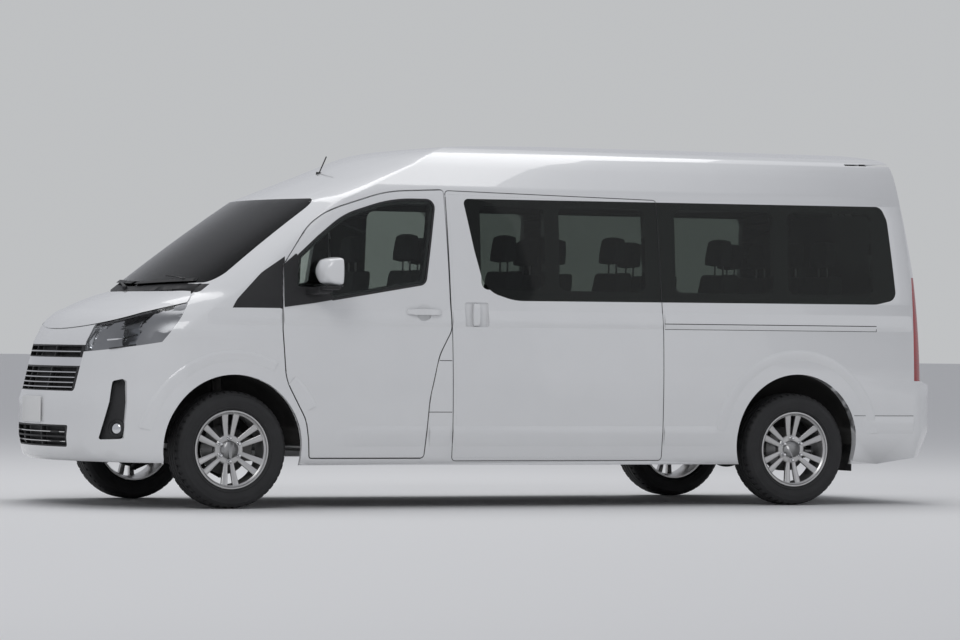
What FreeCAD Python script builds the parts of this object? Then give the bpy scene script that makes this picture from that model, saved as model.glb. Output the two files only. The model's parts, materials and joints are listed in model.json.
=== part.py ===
# A high-roofed minibus with a short bonnet, a sliding door on its left and a lift-up tailgate.
# Frame: +X points to the rear, +Y to the right, +Z up, and the origin is on the ground under the
# middle of the bus. All lengths are millimetres.
import FreeCAD, Part
import math
import os

os.makedirs("parts", exist_ok=True)
V = FreeCAD.Vector
doc = FreeCAD.newDocument("minibus")

# The driving sizes: name, number, what it is.
SIZES = [
    ("overall_length", 5915, "bumper to bumper"),
    ("overall_width", 1950, "without the mirrors"),
    ("wheelbase", 3860, "axle to axle"),
    ("front_overhang", 950, "front axle to bumper"),
    ("track", 1675, "between the middles of the tyres of one axle"),
    ("wall", 60, "side wall and door, outside to inside"),
    ("skin", 30, "bonnet, wings and bumpers"),
    ("glass", 5, "thickness of every pane"),
    ("fit", 0.3, "clearance of a piece in its seat"),
    ("shut_gap", 8, "gap round a door that swings"),
    ("seam", 6, "gap round the sliding door and the lids"),
    ("gutter_height", 1985, "ground to the seam between sides and roof"),
    ("header_height", 1893, "ground to the upper edge of the windscreen"),
    ("floor_height", 560, "ground to the cabin floor"),
    ("floor_depth", 60, "thickness of the floor with its cross-members"),
    ("tyre_diameter", 712, "tyre, outside"),
    ("tyre_width", 235, "tyre, across"),
    ("rim_diameter", 476, "rim, over its lips"),
    ("rim_width", 196, "rim, across its lips"),
    ("well_diameter", 424, "inside of the rim's barrel"),
    ("hub_bore_diameter", 106, "centre hole of the rim"),
    ("lug_circle_diameter", 139.7, "circle of the wheel nuts"),
    ("lug_hole_diameter", 15, "hole for one wheel stud"),
    ("lug_count", 6, "wheel studs"),
    ("arch_radius_front", 447, "front wheel arch"),
    ("arch_radius_rear", 432, "rear wheel arch"),
    ("arch_lift_front", 8, "middle of the front arch above the hub"),
    ("arch_lift_rear", 46, "middle of the rear arch above the hub"),
    ("disc_diameter", 300, "brake disc"),
    ("disc_thickness", 24, "brake disc"),
    ("door_skin", 24, "outer part of a door, which overlaps the pillar behind it"),
    ("pillar", 25, "step between a doorway in the skin and the one behind it"),
    ("door_hinge_inset", 24, "door hinge pin inboard of the widest line"),
    ("door_hinge_station", 270, "door hinge pin behind the front axle"),
    ("engine_length", 720, "engine block"),
    ("engine_width", 560, "engine block"),
    ("engine_height", 600, "engine block"),
    ("tank_length", 900, "fuel tank"),
    ("tank_width", 440, "fuel tank"),
    ("tank_height", 220, "fuel tank"),
    ("axle_tube_diameter", 90, "rear axle tube"),
    ("propshaft_diameter", 80, "propeller shaft"),
    ("exhaust_diameter", 60, "exhaust pipe"),
    ("seat_width", 440, "one seat, across"),
    ("steering_wheel_diameter", 390, "steering wheel"),
]

sheet = doc.addObject("Spreadsheet::Sheet", "sizes")
for row, (name, number, meaning) in enumerate(SIZES, 1):
    sheet.set(f"A{row}", meaning)
    sheet.set(f"B{row}", str(number))
    sheet.setAlias(f"B{row}", name)
doc.recompute()


def size(name):
    """The number in the sheet's cell of that name."""
    return float(sheet.get(name))


FRONT_AXLE = size("front_overhang") - size("overall_length") / 2
REAR_AXLE = FRONT_AXLE + size("wheelbase")
HALF_WIDTH = size("overall_width") / 2
HUB_HEIGHT = size("tyre_diameter") / 2
FIT = size("fit")
LEFT = -1
RIGHT = 1
FAR = 3000

nodes = []


def at(station):
    """X of a station, which is a distance behind the front axle."""
    return station + FRONT_AXLE


def keep(shape, name):
    """Keep a freely shaped sub-part under its node's name."""
    piece = doc.addObject("Part::Feature", name)
    piece.Label = name
    piece.Shape = shape
    piece.Placement = FreeCAD.Placement()
    nodes.append(piece)
    return piece


def arc_or_line(start, end, bulge, outward):
    """An edge from start to end, bowed by bulge towards outward when it isn't nought."""
    if bulge == 0:
        return Part.makeLine(start, end)
    middle = (start + end) * 0.5 + outward.normalize() * bulge
    return Part.Arc(start, middle, end).toShape()


def rounded_loop(corners, place):
    """A closed wire through corners (a, b, radius); place turns a, b into a point."""
    count = len(corners)
    points = [place(a, b) for a, b, radius in corners]
    runs = []
    for i in range(count):
        here = points[i]
        to_last = (points[i - 1] - here).normalize()
        to_next = (points[(i + 1) % count] - here).normalize()
        radius = corners[i][2]
        if radius == 0:
            runs.append((here, None, here))
            continue
        half = to_last.getAngle(to_next) / 2
        back = radius / math.tan(half)
        middle = (to_last + to_next).normalize()
        crest = here + middle * (radius / math.sin(half) - radius)
        runs.append((here + to_last * back, crest, here + to_next * back))
    edges = []
    for i in range(count):
        start, crest, end = runs[i]
        if crest is not None:
            edges.append(Part.Arc(start, crest, end).toShape())
        following = runs[(i + 1) % count][0]
        if end.distanceToPoint(following) > 0.01:
            edges.append(Part.makeLine(end, following))
    return Part.Wire(edges)


def side_cut(corners, y_from, y_to):
    """A prism along Y from corners (station, height, radius)."""
    loop = rounded_loop(corners, lambda a, b: V(at(a), y_from, b))
    return Part.Face(loop).extrude(V(0, y_to - y_from, 0))


def rear_cut(corners, x_from, x_to):
    """A prism along X from corners (y, height, radius)."""
    loop = rounded_loop(corners, lambda a, b: V(x_from, a, b))
    return Part.Face(loop).extrude(V(x_to - x_from, 0, 0))


def plan_cut(corners, z_from, z_to):
    """A prism along Z from corners (station, y, radius)."""
    loop = rounded_loop(corners, lambda a, b: V(at(a), b, z_from))
    return Part.Face(loop).extrude(V(0, 0, z_to - z_from))


def block(x_from, x_to, y_from, y_to, z_from, z_to):
    """A box between its six faces."""
    return Part.makeBox(x_to - x_from, y_to - y_from, z_to - z_from, V(x_from, y_from, z_from))


def rod(start, end, radius):
    """A round bar from one point to another."""
    run = end - start
    return Part.makeCylinder(radius, run.Length, start, run)


def mirrored(shape):
    """The same piece on the other side of the bus."""
    return shape.mirror(V(0, 0, 0), V(0, 1, 0))


def joined(shapes):
    """One solid from pieces that share faces or cross."""
    whole = shapes[0].fuse(shapes[1:])
    return whole.removeSplitter()


def solids_of(shape):
    """The solids alone, as one compound, without crumbs under a cubic centimetre."""
    return Part.makeCompound([solid for solid in shape.Solids if solid.Volume > 1000])


# The outer form. Side profile at the middle of the bus: station, height, which shift moves the point
# back on the way out to the sides, the way in (along x, along z), and the bow of the run after it.
PROFILE = [
    (-860, 262, "nose", 1, -4, 0),
    (-925, 300, "nose", 1, 0, 0),
    (-950, 420, "nose", 1, 0, 0),
    (-950, 640, "nose", 1, 0, 0),
    (-925, 715, "nose", 1, 0, 0),
    (-855, 1000, "nose", 1, -0.2, 0),
    (-800, 1085, "roll", 0.9, -0.4, 20),
    (-640, 1212, "roll", 0.5, -0.87, 9),
    (-340, 1318, "base", 0.3, -1, 10),
    (477, 1893, "header", 0.5, -0.85, 0),
    (1100, 2135, "header", 0.3, -0.8, 22),
    (1617, 2243, "crown", 0, -0.7, 8),
    (3000, 2284, "none", 0, -0.7, 5),
    (4500, 2266, "tail", 0, -0.7, 12),
    (4672, 2195, "tail", -0.9, -0.3, 8),
    (4845, 1480, "tail", -1, 0, 10),
    (4905, 800, "tail", -1, 0, 0),
    (4965, 770, "tail", -1, 0, 0),
    (4965, 470, "tail", -1, 0, 0),
    (4900, 330, "tail", -1, 0, 0),
    (4870, 262, "tail", -1, -4, 0),
]

# How far each shift moves the profile back at a distance from the middle, and how far the bonnet drops.
SHIFTS = ["nose", "roll", "base", "header", "crown", "none", "tail", "drop"]
STATIONS_ACROSS = [
    (0, 0, 0, 0, 0, 0, 0, 0, 0),
    (450, 72, 60, 52, 50, 14, 0, -12, 4),
    (800, 262, 235, 190, 185, 62, 0, -62, 14),
    (985, 640, 560, 420, 400, 200, 0, -240, 40),
]

# Half of the cross-section: y, height, bow of the run after it, the way in (along y, along z).
SECTION = [
    (944, 262, 0, -1, -4),
    (968, 476, 8, -1, 0),
    (965, 1090, 0, -1, 0),
    (950, 1283, 7, -1, 0),
    (905, 1920, 0, -1, 0),
    (880, 1990, 0, -1, -0.2),
    (834, 2103, 16, -0.9, -0.5),
    (690, 2223, 9, -0.3, -0.7),
    (0, 2280, 0, 0, -0.7),
]


def profile_wire(row, inset):
    """The side profile at one distance from the middle, moved in by inset."""
    y = row[0]
    shift = dict(zip(SHIFTS, row[1:]))
    points = []
    for station, height, family, in_x, in_z, bow in PROFILE:
        drop = shift["drop"] if family in ("roll", "base") else 0
        x = at(station) + shift[family] + in_x * inset
        points.append(V(x, y, height - drop + in_z * inset))
    edges = []
    for i, point in enumerate(points):
        following = points[(i + 1) % len(points)]
        run = following - point
        edges.append(arc_or_line(point, following, PROFILE[i][5], V(-run.z, 0, run.x)))
    return Part.Wire(edges)


def body_form(inset):
    """The whole outer form of the body, or the same form moved in by inset."""
    rows = [(-row[0],) + row[1:] for row in reversed(STATIONS_ACROSS[1:])] + STATIONS_ACROSS
    hull = Part.makeLoft([profile_wire(row, inset) for row in rows], True, False)
    half = [V(0, y + in_y * inset, z + in_z * inset) for y, z, bow, in_y, in_z in SECTION]
    edges = []
    for side in (RIGHT, LEFT):
        for i in range(len(half) - 1):
            start = V(-FAR * 1.2, side * half[i].y, half[i].z)
            end = V(-FAR * 1.2, side * half[i + 1].y, half[i + 1].z)
            run = end - start
            edges.append(arc_or_line(start, end, SECTION[i][2], V(0, run.z, -run.y) * side))
    edges.append(Part.makeLine(V(-FAR * 1.2, half[0].y, half[0].z), V(-FAR * 1.2, -half[0].y, half[0].z)))
    section = Part.Face(Part.Wire(Part.__sortEdges__(edges))).extrude(V(FAR * 2.4, 0, 0))
    return hull.common(section)


outer = body_form(0)
pane_inside = body_form(size("glass"))
glass_bed = body_form(size("glass") + FIT)
door_inside = body_form(size("door_skin"))
skin_inside = body_form(size("skin"))
wall_inside = body_form(size("wall"))
arches = []
ARCH_INNER = 560
ARCH_DEPTH = 500
for axle_x, radius_name, lift_name in ((FRONT_AXLE, "arch_radius_front", "arch_lift_front"),
                                       (REAR_AXLE, "arch_radius_rear", "arch_lift_rear")):
    radius = size(radius_name)
    middle = HUB_HEIGHT + size(lift_name)
    for side in (LEFT, RIGHT):
        start = V(axle_x, side * ARCH_INNER, middle)
        arches.append(rod(start, start + V(0, side * ARCH_DEPTH, 0), radius))
body = outer.cut(Part.makeCompound(arches))
thick = body.cut(wall_inside)
thin = body.cut(skin_inside)

# Side outlines, left and right alike: station, height, corner radius.
DOOR = [(315, 1477, 60), (468, 1705, 520), (628, 1824, 520), (1013, 1945, 900), (1401, 1963, 25),
        (1443, 1094, 120), (1357, 939, 300), (1293, 662, 500), (1265, 300, 30), (495, 300, 20),
        (486, 416, 200), (464, 537, 200), (330, 779, 300), (309, 1082, 0)]
DOOR_WINDOW = [(402, 1341, 25), (600, 1338, 15), (640, 1271, 12), (1262, 1376, 45), (1335, 1893, 50),
               (1047, 1893, 900), (723, 1790, 500), (553, 1655, 300), (415, 1533, 40)]
SLIDING_DOOR = [(1402, 1957, 25), (2865, 1927, 25), (2901, 1108, 0), (2901, 284, 25), (1447, 284, 25),
                (1437, 1094, 120)]
GLASS_BAND = [(1524, 1906, 30), (4484, 1917, 60), (4528, 1830, 120), (4586, 1319, 60), (4440, 1286, 200),
              (1870, 1278, 400), (1714, 1325, 160), (1647, 1405, 160), (1594, 1590, 500)]
QUARTER_TRIM = [(-30, 1184, 12), (330, 1214, 0), (330, 1530, 0), (176, 1430, 200), (16, 1265, 200)]
WINDOWS = [(1640, 2080), (2180, 2780), (2990, 3700), (3800, 4420)]
WINDOW_FOOT = 1345
WINDOW_HEAD = 1868
WALL_ZONE = (620, 1100)


def grown(corners, gap, side):
    """A side prism through one wall whose outline is moved out by gap, or in when it is below nought."""
    loop = rounded_loop(corners, lambda a, b: V(at(a), side * WALL_ZONE[0], b))
    if gap != 0:
        loop = loop.makeOffset2D(gap)
    return Part.Face(loop).extrude(V(0, side * (WALL_ZONE[1] - WALL_ZONE[0]), 0))


def grown_back(corners, gap, x_from, x_to):
    """A prism along X whose outline is moved out by gap, or in when it is below nought."""
    loop = rounded_loop(corners, lambda a, b: V(x_from, a, b))
    if gap != 0:
        loop = loop.makeOffset2D(gap)
    return Part.Face(loop).extrude(V(x_to - x_from, 0, 0))


# The panels' edges, given on one side where both sides are alike.
GUTTER = size("gutter_height")
HEADER = size("header_height")
SHUT = size("shut_gap")
SEAM = size("seam")
HEADER_HALF = 620
BONNET_EDGE = 1074
GRILLE_FOOT = 700
BAND_FOOT = 980
TAIL_SEAM = 4715
TAIL_FOOT = 796
SIDE_EDGE = [(-600, 1358, 0), (-142, 1358, 0), (315, 1479, 0), (500, 1479, 0), (500, 262, 0),
             (4300, 240, 0), (TAIL_SEAM, 300, 0), (TAIL_SEAM, TAIL_FOOT, 0), (5200, TAIL_FOOT, 0),
             (5200, GUTTER, 0), (-600, GUTTER, 0)]
WING_EDGE = [(-447, 1003, 0), (-264, 1239, 0), (-150, 1340, 0), (-142, 1358, 0), (315, 1479, 0),
             (500, 1479, 0), (500, 262, 0), (350, 262, 0), (0, 300, 0), (-346, 680, 0), (-450, 751, 0)]
LAMP_EDGE = [(-264, 1239, 0), (-447, 1003, 0), (-833, 931, 0), (-786, 1090, 0), (-700, 1250, 0)]
BUMPER_EDGE = [(-447, 1003, 0), (-833, 931, 0), (-1100, 940, 0), (-1100, 240, 0), (-300, 240, 0),
               (0, 300, 0), (-346, 680, 0), (-450, 751, 0)]
BONNET_SIDE = [(-1100, BONNET_EDGE, 0), (-800, BONNET_EDGE, 0), (-719, 1102, 0), (-508, 1175, 0),
               (-264, 1239, 0), (-150, 1340, 0), (-150, 1500, 0), (-1100, 1500, 0)]
BONNET_PLAN = [(-1100, -1000, 0), (-1100, 1000, 0), (-130, 1000, 0), (-138, 800, 0), (-480, 0, 1480),
               (-138, -800, 0), (-130, -1000, 0)]
COWL_PLAN = [(-600, -450, 0), (-600, 450, 0), (-150, 780, 0), (150, 780, 0), (150, -780, 0), (-150, -780, 0)]
COWL_MIDDLE = [(-600, -450, 0), (-600, 450, 0), (-420, 620, 0), (100, 620, 0), (100, -620, 0),
               (-420, -620, 0)]
SCREEN = [(-800, 1368, 70), (-742, HEADER, 80), (742, HEADER, 80), (800, 1368, 70), (0, 1342, 3000)]
TAILGATE_HEAD = 2200
TAILGATE = [(-760, TAILGATE_HEAD, 60), (-842, 2015, 200), (-862, 1470, 0), (-790, 1440, 0),
            (-790, TAIL_FOOT, 25), (790, TAIL_FOOT, 25), (790, 1440, 0), (862, 1470, 0), (842, 2015, 200),
            (760, TAILGATE_HEAD, 60)]
REAR_WINDOW = [(-700, 1900, 90), (-740, 1330, 70), (740, 1330, 70), (700, 1900, 90)]
GRILLE = [(-478, BAND_FOOT, 0), (478, BAND_FOOT, 0), (474, GRILLE_FOOT, 20), (-474, GRILLE_FOOT, 20)]
INTAKE = [(-450, 494, 12), (450, 494, 12), (430, 361, 20), (-430, 361, 20)]
FOG_RECESS = [(-699, 766, 20), (-633, 785, 20), (-655, 420, 12), (-770, 411, 12)]
LEDGE = 24

pane_layer = outer.cut(pane_inside)
step_layer = outer.cut(glass_bed)
NOSE_X = at(-1200)
SCREEN_X = at(820)
TAIL_X = at(4300)
END_X = at(5200)


def seat_pane(panel, panes):
    """Cut a step for each pane into a panel, and the opening inside its ledge."""
    for step, hole in panes:
        panel = panel.cut(step_layer.common(step)).cut(hole)
    return panel


def seated(corners, side):
    """The step and the opening of a side window."""
    return grown(corners, 0, side), grown(corners, -LEDGE, side)


bonnet_opening = plan_cut(BONNET_PLAN, 1000, 1500).common(side_cut(BONNET_SIDE, -1000, 1000))
screen_step = rear_cut(SCREEN, at(-450), SCREEN_X)
tailgate_opening = rear_cut(TAILGATE, TAIL_X, END_X)
lamp_zone = side_cut([(TAIL_SEAM, TAIL_FOOT, 0), (4703, 1463, 0), (5200, 1463, 0), (5200, TAIL_FOOT, 0)],
                     -1100, 1100)
cowl_zone = plan_cut(COWL_PLAN, 1220, 1358).fuse(plan_cut(COWL_MIDDLE, 1350, 1385))
FLOOR_TOP = size("floor_height")
FLOOR_FOOT = FLOOR_TOP - size("floor_depth")
FLOOR_HALF = 912
DOORWAY_FLOOR_HALF = 890
FLOOR_START = 440
FLOOR_WIDENS = 2935
floor_notch = block(at(FLOOR_WIDENS), at(4700), -FLOOR_HALF, FLOOR_HALF, FLOOR_FOOT - FIT, FLOOR_TOP + FIT)
PILLAR = size("pillar")
PIN_X = at(size("door_hinge_station"))
PIN_Y = HALF_WIDTH - size("door_hinge_inset")
PIN_RADIUS = 3.5
EYE_RADIUS = 7
EYE_HALF = 15
LUG_REACH = 28
RUNNING = 0.06
DOOR_HINGES = (850, 1030)
HINGE_POST = (225, 250)
LUG_HALF = 9
LUG_GAP = 3
LUG_INNER = (885, 897)
LUG_RETURN = (370, 395)
LUG_RETURN_OUT = 930
RELIEF = (219, 335)
RELIEF_Y = (920, 963)
RELIEF_GAP = 6
CORE_GAP = 8


def window_holes(side):
    """The openings behind a side's band of glass, one between each pair of pillars."""
    holes = []
    for start, end in WINDOWS:
        corners = [(start, WINDOW_HEAD, 50), (end, WINDOW_HEAD, 50), (end, WINDOW_FOOT, 50),
                   (start, WINDOW_FOOT, 50)]
        holes.append(grown(corners, 0, side))
    return holes


def wall_before_doors():
    """The whole left wall with the band of glass stepped in and the windows cut."""
    wall = thick.common(side_cut(SIDE_EDGE, -HEADER_HALF, -1100))
    wall = wall.cut(screen_step).cut(bonnet_opening).cut(tailgate_opening)
    wall = wall.cut(step_layer.common(grown(GLASS_BAND, 0, LEFT).fuse(grown(QUARTER_TRIM, 0, LEFT))))
    wall = wall.cut(lamp_zone).cut(floor_notch)
    return wall.cut(Part.makeCompound(window_holes(LEFT)))


def narrow_doorway(corners, gap):
    """The part of a doorway behind the skin, a pillar's step narrower all round."""
    return grown(corners, -PILLAR - gap, LEFT)


def hinge_lug(low, high):
    """A bent arm from a door's core round the wing's edge to the hinge pin, between two heights."""
    pin = size("door_hinge_station")
    back, front = LUG_INNER
    near, far = LUG_RETURN
    corners = [(pin - LUG_HALF, PIN_Y + EYE_RADIUS), (pin + LUG_HALF, PIN_Y + EYE_RADIUS),
               (pin + LUG_HALF, front), (near, front), (near, LUG_RETURN_OUT), (far, LUG_RETURN_OUT),
               (far, back), (pin - LUG_HALF, back)]
    return plan_cut([(station, -y, 0) for station, y in corners], low, high)


def left_door():
    """A front door: its skin fills the opening up to the gap, its core is smaller, its pins are upright."""
    plate = body.cut(door_inside).common(grown(DOOR, -SHUT, LEFT))
    core = thick.common(narrow_doorway(DOOR, SHUT + CORE_GAP))
    step, hole = seated(DOOR_WINDOW, LEFT)
    door = seat_pane(plate.fuse(core), [(step, hole)])
    for height in DOOR_HINGES:
        foot = V(PIN_X, -PIN_Y, height - LUG_REACH)
        pin = rod(foot, foot + V(0, 0, 2 * LUG_REACH), PIN_RADIUS)
        lugs = [hinge_lug(height - LUG_REACH, height - EYE_HALF - LUG_GAP),
                hinge_lug(height + EYE_HALF + LUG_GAP, height + LUG_REACH)]
        door = door.fuse(lugs + [pin])
    return door


wall = wall_before_doors()
sliding_skin = wall.cut(door_inside).common(grown(SLIDING_DOOR, -SEAM, LEFT))
sliding_core = wall.common(narrow_doorway(SLIDING_DOOR, FIT))
keep(solids_of(sliding_skin.fuse(sliding_core)), "sliding_door")
wall = wall.cut(thin.common(grown(DOOR, 0, LEFT))).cut(narrow_doorway(DOOR, 0))
keep(solids_of(mirrored(wall)), "side_right")
wall = wall.cut(thin.common(grown(SLIDING_DOOR, 0, LEFT))).cut(narrow_doorway(SLIDING_DOOR, 0))
keep(solids_of(wall), "side_left")

door = solids_of(left_door())
door_pane = solids_of(pane_layer.common(grown(DOOR_WINDOW, -FIT, LEFT)))
keep(door, "door_left")
keep(mirrored(door), "door_right")
keep(door_pane, "door_glass_left")
keep(mirrored(door_pane), "door_glass_right")
band = pane_layer.common(grown(GLASS_BAND, -FIT, LEFT))
quarter = pane_layer.common(grown(QUARTER_TRIM, -FIT, LEFT)).cut(grown(DOOR, 0, LEFT))
sliding_pane = band.common(grown(SLIDING_DOOR, -SEAM, LEFT))
rear_pane = band.cut(grown(SLIDING_DOOR, 0, LEFT))
keep(solids_of(Part.makeCompound([sliding_pane, rear_pane, mirrored(band), quarter, mirrored(quarter)])),
     "side_glass")

BONNET_BACK = 12
plan_gap = rounded_loop(BONNET_PLAN, lambda a, b: V(at(a), b, 1000)).makeOffset2D(-SEAM)
side_gap = rounded_loop(BONNET_SIDE, lambda a, b: V(at(a), -1000, b)).makeOffset2D(-SEAM)
bonnet_zone = Part.Face(plan_gap).extrude(V(0, 0, 500)).common(Part.Face(side_gap).extrude(V(0, 2000, 0)))
bonnet = thin.common(bonnet_zone)
bonnet = bonnet.common(plan_cut(BONNET_PLAN, 1000, 1500).translated(V(-BONNET_BACK - SEAM, 0, 0)))
BONNET_AXIS = V(at(-140), 0, 1318)
LID_EYE_Y = (706, 720)
LID_PIN_Y = (694, 732)
LID_SLOT_Y = (701, 725)
LID_SLOT = (-250, -125)
LID_PIN = 5
LID_EYE = 9
BORE_OVERRUN = 5
BONNET_ARM = [(-250, 1252, 0), (-196, 1268, 0), (-140, 1309, 0), (-140, 1327, 0), (-200, 1294, 0),
              (-250, 1274, 0)]
for side in (LEFT, RIGHT):
    eye_in = V(BONNET_AXIS.x, side * LID_EYE_Y[0], BONNET_AXIS.z)
    eye_out = V(BONNET_AXIS.x, side * LID_EYE_Y[1], BONNET_AXIS.z)
    arm = side_cut(BONNET_ARM, *sorted((eye_in.y, eye_out.y)))
    bonnet = bonnet.fuse([rod(eye_in, eye_out, LID_EYE), arm])
    beyond = V(0, side * BORE_OVERRUN, 0)
    bonnet = bonnet.cut(rod(eye_in - beyond, eye_out + beyond, LID_PIN + RUNNING))
keep(solids_of(bonnet), "bonnet")

wing = thin.common(side_cut(WING_EDGE, -480, -1100)).cut(bonnet_opening).cut(screen_step)
wing = wing.cut(cowl_zone).cut(grown(DOOR, 0, LEFT)).cut(step_layer.common(grown(QUARTER_TRIM, 0, LEFT)))
wing = wing.cut(block(at(LID_SLOT[0]), at(LID_SLOT[1]), -LID_SLOT_Y[1], -LID_SLOT_Y[0], 1200, 1400))
for height in DOOR_HINGES:
    wing = wing.cut(block(at(RELIEF[0]), at(RELIEF[1]), -RELIEF_Y[1], -RELIEF_Y[0],
                          height - LUG_REACH - RELIEF_GAP, height + LUG_REACH + RELIEF_GAP))
wing = solids_of(wing)
keep(Part.makeCompound([wing, mirrored(wing)]), "fenders")
lamp = thick.common(side_cut(LAMP_EDGE, -480, -1100)).cut(bonnet_opening).cut(cowl_zone)
lamp = solids_of(lamp.cut(rear_cut(GRILLE, NOSE_X, at(-600))))
lamps = Part.makeCompound([lamp, mirrored(lamp)])
keep(lamps, "headlamps")

bumper_halves = [thin.common(side_cut(BUMPER_EDGE, 0, side * 1100)) for side in (LEFT, RIGHT)]
bumper = joined(bumper_halves).cut(rear_cut(GRILLE, NOSE_X, at(-600)))
bumper = bumper.cut(rear_cut(INTAKE, NOSE_X, at(-600)))
for side in (LEFT, RIGHT):
    bumper = bumper.cut(grown(FOG_RECESS, 0, side))
keep(solids_of(bumper), "front_bumper")
band = thin.common(block(NOSE_X, at(-600), -640, 640, BAND_FOOT, 1130)).cut(bonnet_opening).cut(lamps)
keep(solids_of(band), "front_panel")

TAILGATE_TOP_GAP = 22
TAILGATE_CORE_GAP = 26
top_limit = block(TAIL_X, END_X, -1100, 1100, 700, TAILGATE_HEAD - TAILGATE_TOP_GAP)
tailgate = body.cut(door_inside).common(grown_back(TAILGATE, -SHUT, TAIL_X, END_X)).common(top_limit)
tailgate = tailgate.fuse(thick.common(grown_back(TAILGATE, -TAILGATE_CORE_GAP, TAIL_X, END_X)))
step = rear_cut(REAR_WINDOW, TAIL_X, END_X)
hole = grown_back(REAR_WINDOW, -LEDGE, TAIL_X, END_X)
tailgate = seat_pane(tailgate, [(step, hole)])
TAILGATE_AXIS = V(at(4655), 0, 2168)
GATE_EYE_Y = (500, 514)
GATE_LUG_Y = (484, 494)
GATE_ROOM_Y = (478, 532)
GATE_ROOM_Z = (2140, 2200)
GATE_ROOM_X = (-60, 11)
GATE_ARM = [(4646, 2168, 0), (4664, 2168, 0), (4668, 2120, 0), (4640, 2120, 0)]
GATE_LUG = [(4560, 2216, 0), (4655, 2177, 0), (4664, 2168, 0), (4655, 2159, 0), (4560, 2180, 0)]
gate_pins = []
for side in (LEFT, RIGHT):
    eye_in = V(TAILGATE_AXIS.x, side * GATE_EYE_Y[0], TAILGATE_AXIS.z)
    eye_out = V(TAILGATE_AXIS.x, side * GATE_EYE_Y[1], TAILGATE_AXIS.z)
    room_y = sorted(side * y for y in GATE_ROOM_Y)
    room = block(TAILGATE_AXIS.x + GATE_ROOM_X[0], TAILGATE_AXIS.x + GATE_ROOM_X[1], *room_y, *GATE_ROOM_Z)
    arm = side_cut(GATE_ARM, *sorted((eye_in.y, eye_out.y)))
    tailgate = tailgate.cut(room).fuse([rod(eye_in, eye_out, LID_EYE), arm])
    beyond = V(0, side * BORE_OVERRUN, 0)
    tailgate = tailgate.cut(rod(eye_in - beyond, eye_out + beyond, LID_PIN + RUNNING))
    lug = side_cut(GATE_LUG, *sorted(side * y for y in GATE_LUG_Y))
    pin_start = V(TAILGATE_AXIS.x, side * GATE_LUG_Y[0], TAILGATE_AXIS.z)
    pin = rod(pin_start, eye_out + V(0, side * 2, 0), LID_PIN)
    gate_pins.extend([lug, pin])
keep(solids_of(tailgate), "tailgate")
keep(solids_of(pane_layer.common(grown_back(REAR_WINDOW, -FIT, TAIL_X, END_X))), "tailgate_glass")
roof_zone = block(at(-600), END_X, -1100, 1100, GUTTER, 2400)
header_zone = block(at(-600), at(1400), -HEADER_HALF, HEADER_HALF, 1700, GUTTER)
tail_zone = block(TAIL_X, END_X, -HEADER_HALF, HEADER_HALF, TAIL_FOOT, GUTTER)
roof = thick.common(roof_zone).fuse(thick.common(header_zone).cut(screen_step))
roof = roof.fuse(thick.common(tail_zone)).removeSplitter()
roof = roof.cut(screen_step).cut(tailgate_opening).fuse(gate_pins)
keep(solids_of(roof), "roof")
keep(solids_of(pane_layer.common(grown_back(SCREEN, -FIT, at(-450), SCREEN_X))), "windscreen")


tail_lamp = thick.common(lamp_zone).common(block(TAIL_X, END_X, -1100, -700, 700, 1500))
tail_lamp = solids_of(tail_lamp.cut(tailgate_opening))
keep(Part.makeCompound([tail_lamp, mirrored(tail_lamp)]), "tail_lamps")
fog = solids_of(skin_inside.cut(wall_inside).common(grown(FOG_RECESS, -FIT, LEFT)))
keep(Part.makeCompound([fog, mirrored(fog)]), "fog_lamps")
rear_zone = side_cut([(TAIL_SEAM, 300, 0), (5200, 378, 0), (5200, TAIL_FOOT, 0), (TAIL_SEAM, TAIL_FOOT, 0)],
                     -1100, 1100)
keep(solids_of(thin.common(rear_zone)), "rear_bumper")
cowl = thin.common(cowl_zone).cut(bonnet_opening).cut(screen_step)
for side in (LEFT, RIGHT):
    slot_y = sorted(side * y for y in LID_SLOT_Y)
    slot = block(at(LID_SLOT[0]), at(LID_SLOT[1]), *slot_y, 1200, 1400)
    pin = rod(V(BONNET_AXIS.x, side * LID_PIN_Y[0], BONNET_AXIS.z),
              V(BONNET_AXIS.x, side * LID_PIN_Y[1], BONNET_AXIS.z), LID_PIN)
    cowl = cowl.cut(slot).fuse(pin)
keep(solids_of(cowl), "cowl")

# Grille and intake: slots are cut from a curved plate that fills the opening, so slats stay between.
GRILLE_SLOTS = [(706, 718), (728, 746), (757, 777), (788, 808), (819, 842), (910, 932), (946, 970)]
INTAKE_SLOTS = [(370, 389), (399, 418), (428, 447), (457, 484)]
GRILLE_BAR = (852, 904)
POST_HALF = 6


def slotted(corners, slots, post, half):
    """A plate with rows of slots, parted by two upright posts and its two ends."""
    plate = thin.common(grown_back(corners, -FIT, NOSE_X, at(-600)))
    for low, high in slots:
        for y_from, y_to in ((-half, -post - POST_HALF), (-post + POST_HALF, post - POST_HALF),
                             (post + POST_HALF, half)):
            plate = plate.cut(block(NOSE_X, at(-600), y_from, y_to, low, high))
    return plate


bar_low, bar_high = GRILLE_BAR
grille = slotted(GRILLE, GRILLE_SLOTS, 170, 452)
grille = grille.cut(block(NOSE_X, at(-600), -700, 700, bar_low, bar_high).common(outer.cut(glass_bed)))
intake = slotted(INTAKE, INTAKE_SLOTS, 150, 425)
keep(solids_of(Part.makeCompound([grille, intake])), "grille")
bar = pane_layer.common(grown_back(GRILLE, -FIT, NOSE_X, at(-600)))
bar = bar.common(block(NOSE_X, at(-600), -700, 700, bar_low + FIT, bar_high - FIT))
keep(solids_of(bar), "grille_bar")

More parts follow.
